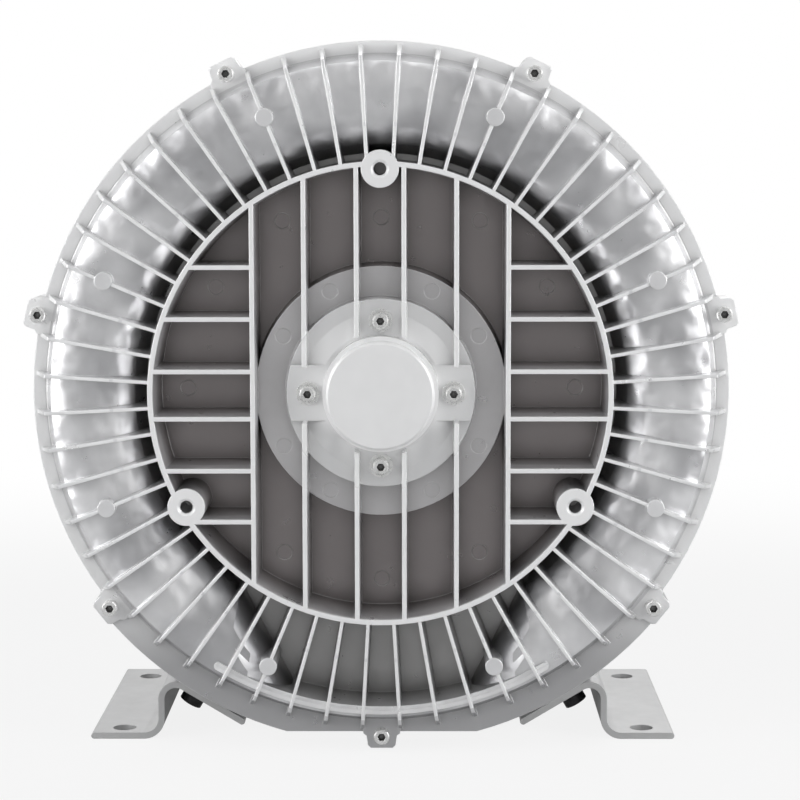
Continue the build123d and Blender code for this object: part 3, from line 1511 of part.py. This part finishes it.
pieces = {
    "front_cover": front_cover,
    "rear_housing": rear_housing,
    "cover_screws": cover_screws,
    "bearing_cap": bearing_cap,
    "bearing_retainer": bearing_retainer,
    "hub_screws": hub_screws,
    "hub_washers": hub_washers,
    "impeller": impeller,
    "impeller_key": impeller_key,
    "shaft": shaft,
    "spacer_sleeve": spacer_sleeve,
    "lock_nut": lock_nut,
    "shaft_seal": shaft_seal,
    "front_bearing_outer_ring": lambda: bearing_outer(*front_bearing),
    "front_bearing_inner_ring": lambda: bearing_inner(*front_bearing),
    "front_bearing_balls": lambda: bearing_balls(*front_bearing, front_ball_count),
    "rear_bearing_outer_ring": lambda: bearing_outer(*rear_bearing),
    "rear_bearing_inner_ring": lambda: bearing_inner(*rear_bearing),
    "rear_bearing_balls": lambda: bearing_balls(*rear_bearing, rear_ball_count),
    "wave_spring": wave_spring,
    "motor_frame": motor_frame,
    "motor_bolts": motor_bolts,
    "stator_core": stator_core,
    "windings": windings,
    "rotor_core": rotor_core,
    "rotor_end_rings": rotor_end_rings,
    "end_shield": end_shield,
    "shield_screws": shield_screws,
    "cooling_fan": cooling_fan,
    "fan_clip": fan_clip,
    "fan_cowl": fan_cowl,
    "cowl_screws": cowl_screws,
    "terminal_box": terminal_box,
    "box_screws": box_screws,
    "lid_gasket": lid_gasket,
    "terminal_lid": terminal_lid,
    "lid_screws": lid_screws,
    "terminal_board": terminal_board,
    "terminal_studs": terminal_studs,
    "cable_gland": cable_gland,
    "blanking_plug": blanking_plug,
    "left_silencer": lambda: silencer(-1),
    "right_silencer": lambda: silencer(1),
    "silencer_screws": silencer_screws,
    "left_silencer_foam": lambda: silencer_foam(-1),
    "right_silencer_foam": lambda: silencer_foam(1),
    "left_port_gasket": lambda: port_gasket_ring(-1),
    "right_port_gasket": lambda: port_gasket_ring(1),
    "left_port_flange": lambda: port_flange(-1),
    "right_port_flange": lambda: port_flange(1),
    "port_screws": port_screws,
    "left_foot": lambda: foot(-1),
    "right_foot": lambda: foot(1),
    "foot_screws": foot_screws,
    "foot_washers": foot_washers,
}

os.makedirs("parts", exist_ok=True)
for node, make in pieces.items():
    shape = make()
    if isinstance(shape, list):
        shape = Compound(children=shape)
    export_step(shape, f"parts/{node}.step")
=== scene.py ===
"""Side channel blower, dressed for its studio picture. Metres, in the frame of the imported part."""

import json
import math

import bpy
from mathutils import Matrix, Vector


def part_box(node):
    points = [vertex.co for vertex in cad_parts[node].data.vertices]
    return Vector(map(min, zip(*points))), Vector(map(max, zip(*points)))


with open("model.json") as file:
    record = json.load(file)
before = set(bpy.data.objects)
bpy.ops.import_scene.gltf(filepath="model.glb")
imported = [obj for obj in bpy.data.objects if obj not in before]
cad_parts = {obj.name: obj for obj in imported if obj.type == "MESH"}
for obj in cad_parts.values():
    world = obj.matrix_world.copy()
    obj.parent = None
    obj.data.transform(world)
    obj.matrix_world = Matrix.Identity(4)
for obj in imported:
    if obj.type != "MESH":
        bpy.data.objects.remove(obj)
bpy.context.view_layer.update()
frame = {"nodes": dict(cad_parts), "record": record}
bpy.context.scene.view_settings.view_transform = "Standard"
nodes = frame["nodes"]

MM = 0.001

# Places read from the frame: the shaft's line, and the front edge of the cover
cover_low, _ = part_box("front_cover")
cap_low, cap_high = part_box("bearing_cap")
AXIS_X = (cap_low.x + cap_high.x) / 2
AXIS_Z = (cap_low.z + cap_high.z) / 2
COVER_FRONT = cover_low.y

# --- Shader helpers -------------------------------------------------------------------

NOISE_MIDDLE = (0.35, 0.65)  # where patches of noise run into each other
NOISE_RANGE = (0.3, 0.7)  # what the noise seldom leaves
HIGHLIT_EDGE_TURN = (0.80, 0.985)  # cosine of an eased edge's turn: where the painted highlight and wear are full, and where they end
FACE_LEEWAY = 0.05 * MM


class Graph:
    """The node tree of a material or world, with short ways to add and join nodes."""

    def __init__(self, owner, coordinates):
        owner.use_nodes = True
        self.nodes = owner.node_tree.nodes
        self.links = owner.node_tree.links
        self.place = self.add("ShaderNodeTexCoord").outputs[coordinates]

    def add(self, kind, **settings):
        node = self.nodes.new(kind)
        for key, value in settings.items():
            setattr(node, key, value)
        return node

    def join(self, source, target):
        self.links.new(source, target)

    def put(self, socket, value):
        """Join a socket, or set a plain number or colour on it."""
        if isinstance(value, bpy.types.NodeSocket):
            self.join(value, socket)
        elif isinstance(value, tuple):
            socket.default_value = (*value, 1.0)
        else:
            socket.default_value = value

    def math(self, operation, a, b=0.0):
        node = self.add("ShaderNodeMath", operation=operation)
        self.put(node.inputs[0], a)
        self.put(node.inputs[1], b)
        return node.outputs[0]

    def times(self, product, *factors):
        for factor in factors:
            product = self.math("MULTIPLY", product, factor)
        return product

    def length(self, a, b):
        """Length of the two sides' diagonal."""
        return self.math("SQRT", self.math("ADD", self.times(a, a), self.times(b, b)))

    def spread(self, value, low, high, new_low, new_high, soft=False):
        """The value carried from one range over to another, and held at its ends."""
        node = self.add("ShaderNodeMapRange", clamp=True)
        if soft:
            node.interpolation_type = "SMOOTHSTEP"
        self.put(node.inputs["Value"], value)
        ends = {"From Min": low, "From Max": high, "To Min": new_low, "To Max": new_high}
        for name, number in ends.items():
            self.put(node.inputs[name], number)
        return node.outputs["Result"]

    def mix(self, data_type, factor, a, b):
        node = self.add("ShaderNodeMix", data_type=data_type)
        self.put(node.inputs["Factor"], factor)
        self.put(node.inputs["A"], a)
        self.put(node.inputs["B"], b)
        return node.outputs["Result"]

    def mix_shaders(self, factor, a, b):
        node = self.add("ShaderNodeMixShader")
        self.join(factor, node.inputs["Fac"])
        self.join(a, node.inputs[1])
        self.join(b, node.inputs[2])
        return node.outputs["Shader"]

    def axes(self):
        node = self.add("ShaderNodeSeparateXYZ")
        self.join(self.place, node.inputs[0])
        return node.outputs


class Material(Graph):
    """A material's node tree, with the patterns that the surfaces share."""

    def __init__(self, name):
        self.material = bpy.data.materials.new(name)
        super().__init__(self.material, "Object")
        self.shader = self.nodes["Principled BSDF"]

    def noise(self, scale, detail=3.0, roughness=0.55):
        """Noise with its scale in cells per metre."""
        node = self.add("ShaderNodeTexNoise")
        node.inputs["Scale"].default_value = scale
        node.inputs["Detail"].default_value = detail
        node.inputs["Roughness"].default_value = roughness
        self.join(self.place, node.inputs["Vector"])
        return node.outputs["Fac"]

    def mottled(self, dark, light, **pattern):
        """Two tones run into each other in patches."""
        return self.blend(self.spread(self.noise(**pattern), *NOISE_MIDDLE, 0, 1), dark, light)

    def uneven(self, low, high, **pattern):
        """A value that wanders between two ends."""
        return self.spread(self.noise(**pattern), *NOISE_RANGE, low, high)

    def blend(self, factor, a, b):
        return self.mix("RGBA", factor, a, b)

    def beyond(self, value, edge):
        return self.math("GREATER_THAN", value, edge)

    def below(self, value, edge):
        return self.math("LESS_THAN", value, edge)

    def at_depth(self, depth, face):
        """1 on the flat face at one depth, 0 elsewhere."""
        return self.below(self.math("ABSOLUTE", self.math("SUBTRACT", depth, face)), FACE_LEEWAY)

    def offsets(self):
        """Distance to the right of the shaft and above it."""
        x, _, z = self.axes()
        return self.math("SUBTRACT", x, AXIS_X), self.math("SUBTRACT", z, AXIS_Z)

    def radius(self):
        """Distance from the shaft."""
        return self.length(*self.offsets())

    def vector(self, operation, a, b=None):
        node = self.add("ShaderNodeVectorMath", operation=operation)
        self.join(a, node.inputs[0])
        if b is not None:
            self.join(b, node.inputs[1])
        return node.outputs["Value"] if operation == "DOT_PRODUCT" else node.outputs["Vector"]

    def rounded(self, edge):
        """Normal of the surface with its edges eased to a radius."""
        bevel = self.add("ShaderNodeBevel", samples=6)
        bevel.inputs["Radius"].default_value = edge
        return bevel.outputs["Normal"]

    def edge_highlight_and_wear(self, normal):
        """1 along eased edges, where a highlight is painted with some wear, 0 on open faces."""
        true = self.add("ShaderNodeNewGeometry").outputs["True Normal"]
        return self.spread(self.vector("DOT_PRODUCT", normal, true), *HIGHLIT_EDGE_TURN, 1, 0)

    def hollows(self, distance, low, high):
        """1 in tight corners and holes, 0 on open faces."""
        node = self.add("ShaderNodeAmbientOcclusion", samples=10, only_local=True)
        node.inputs["Distance"].default_value = distance
        return self.spread(node.outputs["AO"], low, high, 1, 0)

    def cast_grain(self):
        fine = self.times(self.noise(scale=1400, detail=3, roughness=0.6), 0.35)
        return self.math("ADD", fine, self.noise(scale=260, detail=2))

    def bumped(self, height, distance, normal=None):
        """The normal with a relief of the given height laid over it."""
        node = self.add("ShaderNodeBump")
        node.inputs["Strength"].default_value = 1.0
        node.inputs["Distance"].default_value = distance
        self.join(height, node.inputs["Height"])
        if normal:
            self.join(normal, node.inputs["Normal"])
        return node.outputs["Normal"]

    def bump(self, height, distance, normal=None):
        self.join(self.bumped(height, distance, normal), self.shader.inputs["Normal"])

    def set(self, **values):
        names = {"colour": "Base Color", "metallic": "Metallic", "roughness": "Roughness",
                 "coat": "Coat Weight", "coat_roughness": "Coat Roughness",
                 "specular": "Specular IOR Level", "sheen": "Sheen Weight"}
        for key, value in values.items():
            self.put(self.shader.inputs[names[key]], value)


# --- Metals ---------------------------------------------------------------------------

# Near-white painted on edges and bright faces: painted highlight, partly real wear
HIGHLIGHT_AND_WEAR = (0.97, 0.97, 0.97)
# Near-black painted shade in fastener sockets and corners
SOCKET_SHADE = (0.015, 0.014, 0.013)
FLOW_MARKS = {"scale": 22, "detail": 4, "roughness": 0.6}
CAST_GLOSS = {"scale": 90, "detail": 4}
GRAIN_HEIGHT = 0.05 * MM
TOOL_MARK_HEIGHT = 0.003 * MM
TURNING_PITCH, TURNING_HEIGHT = 0.35 * MM, 0.002 * MM
SHEET_THICKNESS, SHEET_RELIEF = 0.65 * MM, 0.05 * MM
WIRE_THICKNESS, WIRE_RELIEF = 0.9 * MM, 0.2 * MM


def cast_metal(name, light, dark, roughness, metallic):
    """Die-cast aluminium: fine grain, soft flow marks, and edges painted near-white as a highlight,
    partly worn.
    """
    t = Material(name)
    normal = t.rounded(0.7 * MM)
    tone = t.mottled(dark, light, **FLOW_MARKS)
    # Painted highlight along the eased edges, partly worn metal
    tone = t.blend(t.times(t.edge_highlight_and_wear(normal), 0.6), tone, HIGHLIGHT_AND_WEAR)
    t.set(colour=tone, metallic=metallic,
          roughness=t.uneven(roughness - 0.05, roughness + 0.08, **CAST_GLOSS))
    t.bump(t.cast_grain(), GRAIN_HEIGHT, normal)
    return t.material


# The cover is painted by distance from the shaft and by depth behind its front edge, with painted shade
# and painted highlights.
# Its bulge is two round arcs in section: the radius and depth of each arc's centre, and
# the radius of the section. The arcs run into each other within JOIN_REACH of BULGE_JOIN.
BULGE_ARCS = ((152.06 * MM, 33.49 * MM, 22.68 * MM), (162.83 * MM, 43.70 * MM, 35.22 * MM))
BULGE_START, BULGE_JOIN, BULGE_END = 132.5 * MM, 150.0 * MM, 176.4 * MM
JOIN_REACH = 7 * MM
BULGE_LEEWAY = 1.6 * MM  # how far from the arcs the cover's own surface may lie
BULGE_FACING = 0.86  # the ribs' sides turn further away than this cosine
WAVE_HEIGHT = 4.5 * MM

RING_INSIDE = 122.0 * MM
RIM_INSIDE = 180.6 * MM
RIDGE_INSIDE = 169.0 * MM
HUB_DISC = 51.0 * MM
PAD_DEPTH = 1.1 * MM
HIGHLIGHT_DEPTHS = (2.0 * MM, 3.4 * MM)  # the painted highlight on the front edges fades out between these depths
RIDGE_DEPTH = 8.0 * MM
SHADED_DEPTHS = (12 * MM, 30 * MM)
FLOOR_DEPTHS = (13 * MM, 40 * MM)
HUB_DEPTHS = (18 * MM, 18.5 * MM)
RIM_DEPTHS = (20.5 * MM, 21.5 * MM)
LOW_SHADE_HEIGHTS = (40 * MM, 110 * MM)  # above the floor, where the painted shade on the lower rim fades out

COVER_LIGHT = (0.94, 0.94, 0.95)
COVER_DARK = (0.84, 0.84, 0.85)
# Dark patches painted on the bulge as reflections of the ribs
REFLECTION_PATCH_SHADE = (0.40, 0.40, 0.415)
# Painted shade deep behind the front edge: in the gutter outside the ring, and on the floor inside it,
# which also has a warmer cast tone
GUTTER_SHADE = (0.52, 0.515, 0.51)
RING_FLOOR_SHADE = (0.315, 0.290, 0.288)
# Painted shade on the lower rim
LOW_RIM_SHADE = (0.30, 0.30, 0.31)
# Painted shade in the cover's corners and at the rib roots
CORNER_SHADE = (0.05, 0.048, 0.047)


def bulge_normal(t, radius, depth):
    """What turns the mesh's normal into the bulge's own round one, and 1 on the bulge."""
    past_join = t.spread(radius, BULGE_JOIN - JOIN_REACH, BULGE_JOIN + JOIN_REACH, 0, 1, soft=True)
    leans, falls, gaps = [], [], []
    for centre_radius, centre_depth, section_radius in BULGE_ARCS:
        across = t.math("SUBTRACT", radius, centre_radius)
        back = t.math("SUBTRACT", depth, centre_depth)
        length = t.length(across, back)
        gaps.append(t.math("ABSOLUTE", t.math("SUBTRACT", length, section_radius)))
        leans.append(t.math("DIVIDE", across, length))
        falls.append(t.math("DIVIDE", back, length))
    outward = t.math("DIVIDE", t.spread(past_join, 0, 1, *leans), radius)
    right, up = t.offsets()
    direction = t.add("ShaderNodeCombineXYZ")
    t.join(t.times(right, outward), direction.inputs["X"])
    t.join(t.spread(past_join, 0, 1, *falls), direction.inputs["Y"])
    t.join(t.times(up, outward), direction.inputs["Z"])
    turn = t.add(
        "ShaderNodeVectorTransform", vector_type="NORMAL", convert_from="OBJECT", convert_to="WORLD")
    t.join(direction.outputs[0], turn.inputs[0])
    smooth = t.vector("NORMALIZE", turn.outputs[0])
    shading = t.add("ShaderNodeNewGeometry").outputs["Normal"]
    inside = t.times(t.beyond(radius, BULGE_START), t.below(radius, BULGE_END))
    facing = t.beyond(t.vector("DOT_PRODUCT", smooth, shading), BULGE_FACING)
    on_bulge = t.times(inside, facing, t.below(t.math("MINIMUM", *gaps), BULGE_LEEWAY))
    return t.vector("SUBTRACT", t.mix("VECTOR", on_bulge, shading, smooth), shading), on_bulge


def painted_highlights(t, radius, depth, low, hub):
    """1 where the cover is painted near-white: a painted highlight on the front edges, the rim and the
    ridge, and the brighter hub disc; 0 on the raw casting.
    """
    off_pads = t.math("SUBTRACT", 1, t.at_depth(depth, PAD_DEPTH))
    front = t.times(t.spread(depth, *HIGHLIGHT_DEPTHS, 0.85, 0), off_pads)
    rim = t.times(t.beyond(radius, RIM_INSIDE), t.spread(depth, *RIM_DEPTHS, 1, 0))
    # No painted highlight on the rim low down, where the painted shade lies
    rim = t.times(rim, t.math("SUBTRACT", 1, low))
    ridge = t.times(t.at_depth(depth, RIDGE_DEPTH), t.beyond(radius, RIDGE_INSIDE))
    rims = t.math("MAXIMUM", rim, ridge)
    return t.math("MAXIMUM", t.math("MAXIMUM", front, rims), hub)


def cover_metal(name):
    """The cover's casting: painted highlights on the front edges, rim and ridge, a wavy bulge with
    painted reflection patches, and painted shade in the gutter, on the floor, in corners and on the
    lower rim.
    """
    t = Material(name)
    radius = t.radius()
    _, y, height = t.axes()
    depth = t.math("SUBTRACT", y, COVER_FRONT)
    eased = t.rounded(0.8 * MM)
    change, on_bulge = bulge_normal(t, radius, depth)
    # 1 low down on the cover, where painted shade lies, fading to 0 higher up
    low = t.spread(height, *LOW_SHADE_HEIGHTS, 1, 0, soft=True)
    hub = t.times(t.below(radius, HUB_DISC), t.spread(depth, *HUB_DEPTHS, 1, 0))
    # Painted highlight on the edges and bright faces, partly worn edges
    highlight_and_wear_mask = t.math("MAXIMUM", t.times(t.edge_highlight_and_wear(eased), 0.7), painted_highlights(t, radius, depth, low, hub))

    tone = t.mottled(COVER_DARK, COVER_LIGHT, **FLOW_MARKS)
    # Painted reflection: dark patches on the bulge
    patches = t.spread(t.noise(scale=30, detail=1, roughness=0.4), 0.40, 0.68, 0, 1, soft=True)
    tone = t.blend(t.times(patches, on_bulge, 0.60), tone, REFLECTION_PATCH_SHADE)
    # Painted shade growing with depth, with the floor's own warmer tone inside the ring
    depth_shade = t.blend(t.below(radius, RING_INSIDE), GUTTER_SHADE, RING_FLOOR_SHADE)
    tone = t.blend(t.spread(depth, *FLOOR_DEPTHS, 0, 1), tone, depth_shade)
    # Painted shade on the lower rim, outside the bulge
    tone = t.blend(t.times(low, t.beyond(radius, BULGE_END), 0.6), tone, LOW_RIM_SHADE)
    # Near-white painted over these places as a highlight
    tone = t.blend(highlight_and_wear_mask, tone, HIGHLIGHT_AND_WEAR)
    # Painted shade in corners, stronger deeper in
    corners = t.times(t.hollows(14 * MM, 0.25, 0.85), t.spread(depth, *SHADED_DEPTHS, 0.28, 0.45))
    t.set(colour=t.blend(corners, tone, CORNER_SHADE), metallic=t.spread(highlight_and_wear_mask, 0, 1, 0.78, 0.20))
    t.set(roughness=t.math("SUBTRACT", t.uneven(0.27, 0.36, **CAST_GLOSS), t.times(hub, 0.10)))

    normal = t.vector("NORMALIZE", t.vector("ADD", eased, change))
    waves = t.times(t.noise(scale=36, detail=2, roughness=0.5), on_bulge)
    t.bump(t.cast_grain(), GRAIN_HEIGHT, t.bumped(waves, WAVE_HEIGHT, normal))
    return t.material


def plated(name, light, dark, roughness, metallic=1.0):
    """Plated or blackened fastener metal: faint tool marks, painted shade in the sockets."""
    t = Material(name)
    # Painted shade in sockets and tight corners, with duller metal there
    socket_shade = t.hollows(4 * MM, 0.34, 0.66)
    tone = t.mottled(dark, light, scale=240)
    t.set(colour=t.blend(socket_shade, tone, SOCKET_SHADE), metallic=t.spread(socket_shade, 0, 1, metallic, 0.0))
    gloss = t.uneven(roughness - 0.05, roughness + 0.1, scale=600)
    t.set(roughness=t.math("ADD", gloss, t.times(socket_shade, 0.3)))
    t.bump(t.noise(scale=900, detail=2), TOOL_MARK_HEIGHT, t.rounded(0.25 * MM))
    return t.material


def turned(name, light, dark, roughness, metallic):
    """Lathe-turned metal with fine rings about the shaft."""
    t = Material(name)
    across = t.math("ADD", t.radius(), t.axes()[1])
    rings = t.math("SINE", t.times(across, 2 * math.pi / TURNING_PITCH))
    t.set(colour=t.mottled(dark, light, scale=70), metallic=metallic,
          roughness=t.uneven(roughness - 0.04, roughness + 0.06, scale=180))
    relief = t.math("ADD", rings, t.noise(scale=1500, detail=2))
    t.bump(relief, TURNING_HEIGHT, t.rounded(0.3 * MM))
    return t.material


def laminated(name):
    """Stacked sheet steel: fine lines across the stack."""
    t = Material(name)
    layers = t.math("SINE", t.times(t.axes()[1], 2 * math.pi / SHEET_THICKNESS))
    tone = t.blend(t.spread(layers, -1, 1, 0, 1), (0.12, 0.12, 0.13), (0.30, 0.30, 0.32))
    t.set(colour=tone, metallic=0.9, roughness=0.45)
    t.bump(layers, SHEET_RELIEF)
    return t.material


def wound(name):
    """Varnished copper wire laid round the winding head."""
    t = Material(name)
    strands = t.math("SINE", t.times(t.radius(), 2 * math.pi / WIRE_THICKNESS))
    tone = t.blend(t.spread(strands, -1, 1, 0, 1), (0.25, 0.07, 0.02), (0.62, 0.24, 0.08))
    t.set(colour=tone, metallic=0.8, roughness=0.35)
    t.bump(strands, WIRE_RELIEF)
    return t.material


# --- Coatings, plastics and foam ------------------------------------------------------

PEEL_HEIGHT = 0.03 * MM  # orange peel in paint
SPARK_HEIGHT = 0.03 * MM  # grain of a mould
PORE_DEPTH = 0.6 * MM


def painted(name, light, dark, roughness, metallic):
    """Sprayed coating: slight orange peel and uneven gloss."""
    t = Material(name)
    t.set(colour=t.mottled(dark, light, scale=14), metallic=metallic,
          roughness=t.uneven(roughness - 0.05, roughness + 0.07, scale=120))
    t.set(coat=0.2, coat_roughness=0.25)
    t.bump(t.noise(scale=420, detail=2), PEEL_HEIGHT, t.rounded(0.4 * MM))
    return t.material


def moulded(name, light, dark, roughness, sheen=0.0):
    """Moulded plastic, rubber or fibre with a fine spark-eroded grain."""
    t = Material(name)
    t.set(colour=t.mottled(dark, light, scale=160), metallic=0.0, sheen=sheen,
          roughness=t.uneven(roughness - 0.05, roughness + 0.08, scale=500, detail=2))
    t.bump(t.noise(scale=1800, detail=2), SPARK_HEIGHT, t.rounded(0.4 * MM))
    return t.material


def foam(name):
    """Open-cell foam: round pores of a millimetre or so."""
    t = Material(name)
    cells = t.add("ShaderNodeTexVoronoi")
    cells.inputs["Scale"].default_value = 700
    t.join(t.place, cells.inputs["Vector"])
    pores = cells.outputs["Distance"]
    tone = t.blend(t.spread(pores, 0.0, 0.6, 0, 1), (0.02, 0.02, 0.022), (0.10, 0.10, 0.105))
    t.set(colour=tone, metallic=0.0, roughness=0.95)
    t.bump(pores, PORE_DEPTH)
    return t.material


# Each material by its slot's name in the record, with what it is made by
LOOKS = {
    "cast_aluminium": (cast_metal, dict(
        light=(0.80, 0.80, 0.81), dark=(0.66, 0.66, 0.67), roughness=0.36, metallic=0.85)),
    "cover_casting": (cover_metal, {}),
    "motor_aluminium": (cast_metal, dict(
        light=(0.58, 0.585, 0.59), dark=(0.48, 0.485, 0.49), roughness=0.45, metallic=0.5)),
    "turned_aluminium": (turned, dict(
        light=(0.95, 0.95, 0.95), dark=(0.93, 0.93, 0.93), roughness=0.40, metallic=0.42)),
    "impeller_aluminium": (cast_metal, dict(
        light=(0.75, 0.75, 0.76), dark=(0.62, 0.62, 0.63), roughness=0.32, metallic=0.95)),
    "foot_steel": (painted, dict(
        light=(0.56, 0.56, 0.56), dark=(0.50, 0.50, 0.50), roughness=0.34, metallic=0.35)),
    "bright_steel": (plated, dict(
        light=(0.93, 0.93, 0.92), dark=(0.84, 0.84, 0.83), roughness=0.26, metallic=0.9)),
    "black_steel": (plated, dict(
        light=(0.035, 0.035, 0.038), dark=(0.012, 0.012, 0.013), roughness=0.38, metallic=0.4)),
    "bearing_steel": (turned, dict(
        light=(0.80, 0.80, 0.80), dark=(0.70, 0.70, 0.70), roughness=0.16, metallic=1.0)),
    "shaft_steel": (turned, dict(
        light=(0.62, 0.62, 0.61), dark=(0.50, 0.50, 0.49), roughness=0.30, metallic=1.0)),
    "spring_steel": (plated, dict(
        light=(0.34, 0.34, 0.35), dark=(0.22, 0.22, 0.23), roughness=0.35)),
    "core_steel": (laminated, {}),
    "copper_winding": (wound, {}),
    "cowl_steel": (painted, dict(
        light=(0.46, 0.465, 0.47), dark=(0.40, 0.405, 0.41), roughness=0.38, metallic=0.2)),
    "fan_plastic": (moulded, dict(
        light=(0.045, 0.045, 0.048), dark=(0.025, 0.025, 0.027), roughness=0.50)),
    "black_plastic": (moulded, dict(
        light=(0.040, 0.040, 0.043), dark=(0.022, 0.022, 0.024), roughness=0.46)),
    "board_plastic": (moulded, dict(
        light=(0.26, 0.07, 0.035), dark=(0.18, 0.045, 0.022), roughness=0.45)),
    "stud_brass": (plated, dict(
        light=(0.72, 0.50, 0.18), dark=(0.52, 0.34, 0.11), roughness=0.28)),
    "black_rubber": (moulded, dict(
        light=(0.030, 0.030, 0.031), dark=(0.016, 0.016, 0.017), roughness=0.70, sheen=0.1)),
    "grey_fibre": (moulded, dict(
        light=(0.40, 0.375, 0.34), dark=(0.27, 0.25, 0.22), roughness=0.85)),
    "grey_foam": (foam, {}),
}
materials = {name: make(name, **look) for name, (make, look) in LOOKS.items()}

slot_of = {part["node"]: part["material_slot"] for part in frame["record"]["subparts"]}
slot_of["front_cover"] = "cover_casting"  # its own casting, painted by place
for node, piece in nodes.items():
    piece.data.materials.clear()
    piece.data.materials.append(materials[slot_of[node]])

# --- Camera, fitted to the cover's circles in the photograph ---------------------------

CAMERA_PLACE = Vector((21.75 * MM, -1383.0 * MM, 330.8 * MM))
CAMERA_PITCH = math.radians(-6.161)
CAMERA_YAW = math.radians(0.431)
CAMERA_ROLL = 0.0015  # radians
SENSOR_WIDTH, FOCAL_LENGTH = 36, 107.78  # mm
SHIFT_X = -0.00435

camera = bpy.data.objects.new("camera", bpy.data.cameras.new("camera"))
bpy.context.scene.collection.objects.link(camera)
camera.data.sensor_width = SENSOR_WIDTH
camera.data.lens = FOCAL_LENGTH
camera.data.shift_x = SHIFT_X
camera.data.clip_start = 0.01
turn = Matrix.Rotation(CAMERA_YAW, 3, "Z") @ Matrix.Rotation(CAMERA_PITCH, 3, "X")
right, forward, up = (turn @ Matrix.Rotation(CAMERA_ROLL, 3, "Y")).col
facing = Matrix((right, up, -forward)).transposed().to_4x4()
camera.matrix_world = Matrix.Translation(CAMERA_PLACE) @ facing
bpy.context.scene.camera = camera

# --- Floor, world and lights ----------------------------------------------------------

WHITE = (1, 1, 1)
FLOOR_HALF = 6.0
FLOOR_DARK, FLOOR_LIGHT = (0.58, 0.58, 0.58), (0.64, 0.64, 0.64)
FLOOR_WHITENS = (0.35, 1.1)  # distance from the object, near and far
FLOOR_WHITE = (0.86, 1.0)  # how white the camera sees it there
FLOOR_GLOSS = 0.2  # how white the metal sees it
ROOM_GLOW = 0.50  # what the metal sees behind the camera
SIDE_GLOW = 0.55  # and more than that to the sides
BACKDROP_GLOW = 0.9  # and behind the object
FILL_COLOUR, FILL_STRENGTH = (0.95, 0.97, 1.0), 0.26
# Parts of a ray's direction: sideways and upward for the side panels, and forward for the
# backdrop, each where it fades in or out
PANELS_BEGIN, PANELS_TOP, BACKDROP_BEGINS = (0.20, 0.46), (0.35, 0.8), (-0.1, 0.5)
ABOVE_PANELS = 0.3  # what is left of the panels' glow over their top


def pale_floor():
    """A pale floor that keeps the shadow by the object and whitens far off."""
    mesh = bpy.data.meshes.new("floor")
    corners = [(x * FLOOR_HALF, y * FLOOR_HALF, 0) for x, y in ((-1, -1), (1, -1), (1, 1), (-1, 1))]
    mesh.from_pydata(corners, [], [(0, 1, 2, 3)])
    floor = bpy.data.objects.new("floor", mesh)
    bpy.context.scene.collection.objects.link(floor)
    t = Material("floor")
    patches = t.uneven(0, 1, scale=3, detail=2)
    t.set(colour=t.blend(patches, FLOOR_DARK, FLOOR_LIGHT), roughness=0.8, specular=0.2)
    glow = t.add("ShaderNodeEmission")
    t.put(glow.inputs["Color"], WHITE)
    rays = t.add("ShaderNodeLightPath").outputs
    seen = t.math("MAXIMUM", rays["Is Camera Ray"], rays["Is Transmission Ray"])
    mirrored = t.math("MAXIMUM", seen, t.times(rays["Is Glossy Ray"], FLOOR_GLOSS))
    x, y, _ = t.axes()
    white = t.spread(t.length(x, y), *FLOOR_WHITENS, *FLOOR_WHITE, soft=True)
    surface = t.mix_shaders(t.times(mirrored, white), t.shader.outputs["BSDF"], glow.outputs["Emission"])
    t.join(surface, t.nodes["Material Output"].inputs["Surface"])
    mesh.materials.append(t.material)


def studio_world():
    """White backdrop all round for the eye; in the metal it fades to a dim room behind the camera."""
    world = bpy.data.worlds.new("studio")
    bpy.context.scene.world = world
    g = Graph(world, "Generated")

    def backdrop(colour, strength):
        node = g.add("ShaderNodeBackground")
        g.put(node.inputs["Color"], colour)
        g.put(node.inputs["Strength"], strength)
        return node.outputs["Background"]

    x, y, z = g.axes()
    beside = g.spread(g.math("ABSOLUTE", x), *PANELS_BEGIN, 0, SIDE_GLOW, soft=True)
    panels = g.times(beside, g.spread(z, *PANELS_TOP, 1, ABOVE_PANELS, soft=True))
    room = g.math("ADD", panels, ROOM_GLOW)
    level = g.math("MAXIMUM", room, g.spread(y, *BACKDROP_BEGINS, 0, BACKDROP_GLOW, soft=True))
    rays = g.add("ShaderNodeLightPath").outputs
    fill = backdrop(FILL_COLOUR, FILL_STRENGTH)
    inner = g.mix_shaders(rays["Is Glossy Ray"], fill, backdrop(WHITE, level))
    inner = g.mix_shaders(rays["Is Transmission Ray"], inner, backdrop(WHITE, 1.0))
    whole = g.mix_shaders(rays["Is Camera Ray"], inner, backdrop(WHITE, 1.0))
    g.join(whole, g.nodes["World Output"].inputs["Surface"])


def soft_box(name, place, target, width, height, power):
    lamp = bpy.data.lights.new(name, "AREA")
    lamp.shape = "RECTANGLE"
    lamp.size = width
    lamp.size_y = height
    lamp.energy = power
    box = bpy.data.objects.new(name, lamp)
    bpy.context.scene.collection.objects.link(box)
    box.location = place
    box.rotation_euler = (Vector(target) - Vector(place)).to_track_quat("-Z", "Y").to_euler()


pale_floor()
studio_world()
MIDDLE = (0, -0.08, 0.2)
for name, side in (("left_box", -1), ("right_box", 1)):
    soft_box(name, (side * 1.20, -0.75, 0.40), MIDDLE, width=0.6, height=1.1, power=10.5)
soft_box("top_box", (0, -0.75, 1.45), MIDDLE, width=1.3, height=0.6, power=2.5)
soft_box("back_box", (0.3, 1.6, 1.2), (0, 0.1, 0.2), width=1.4, height=1.0, power=7)
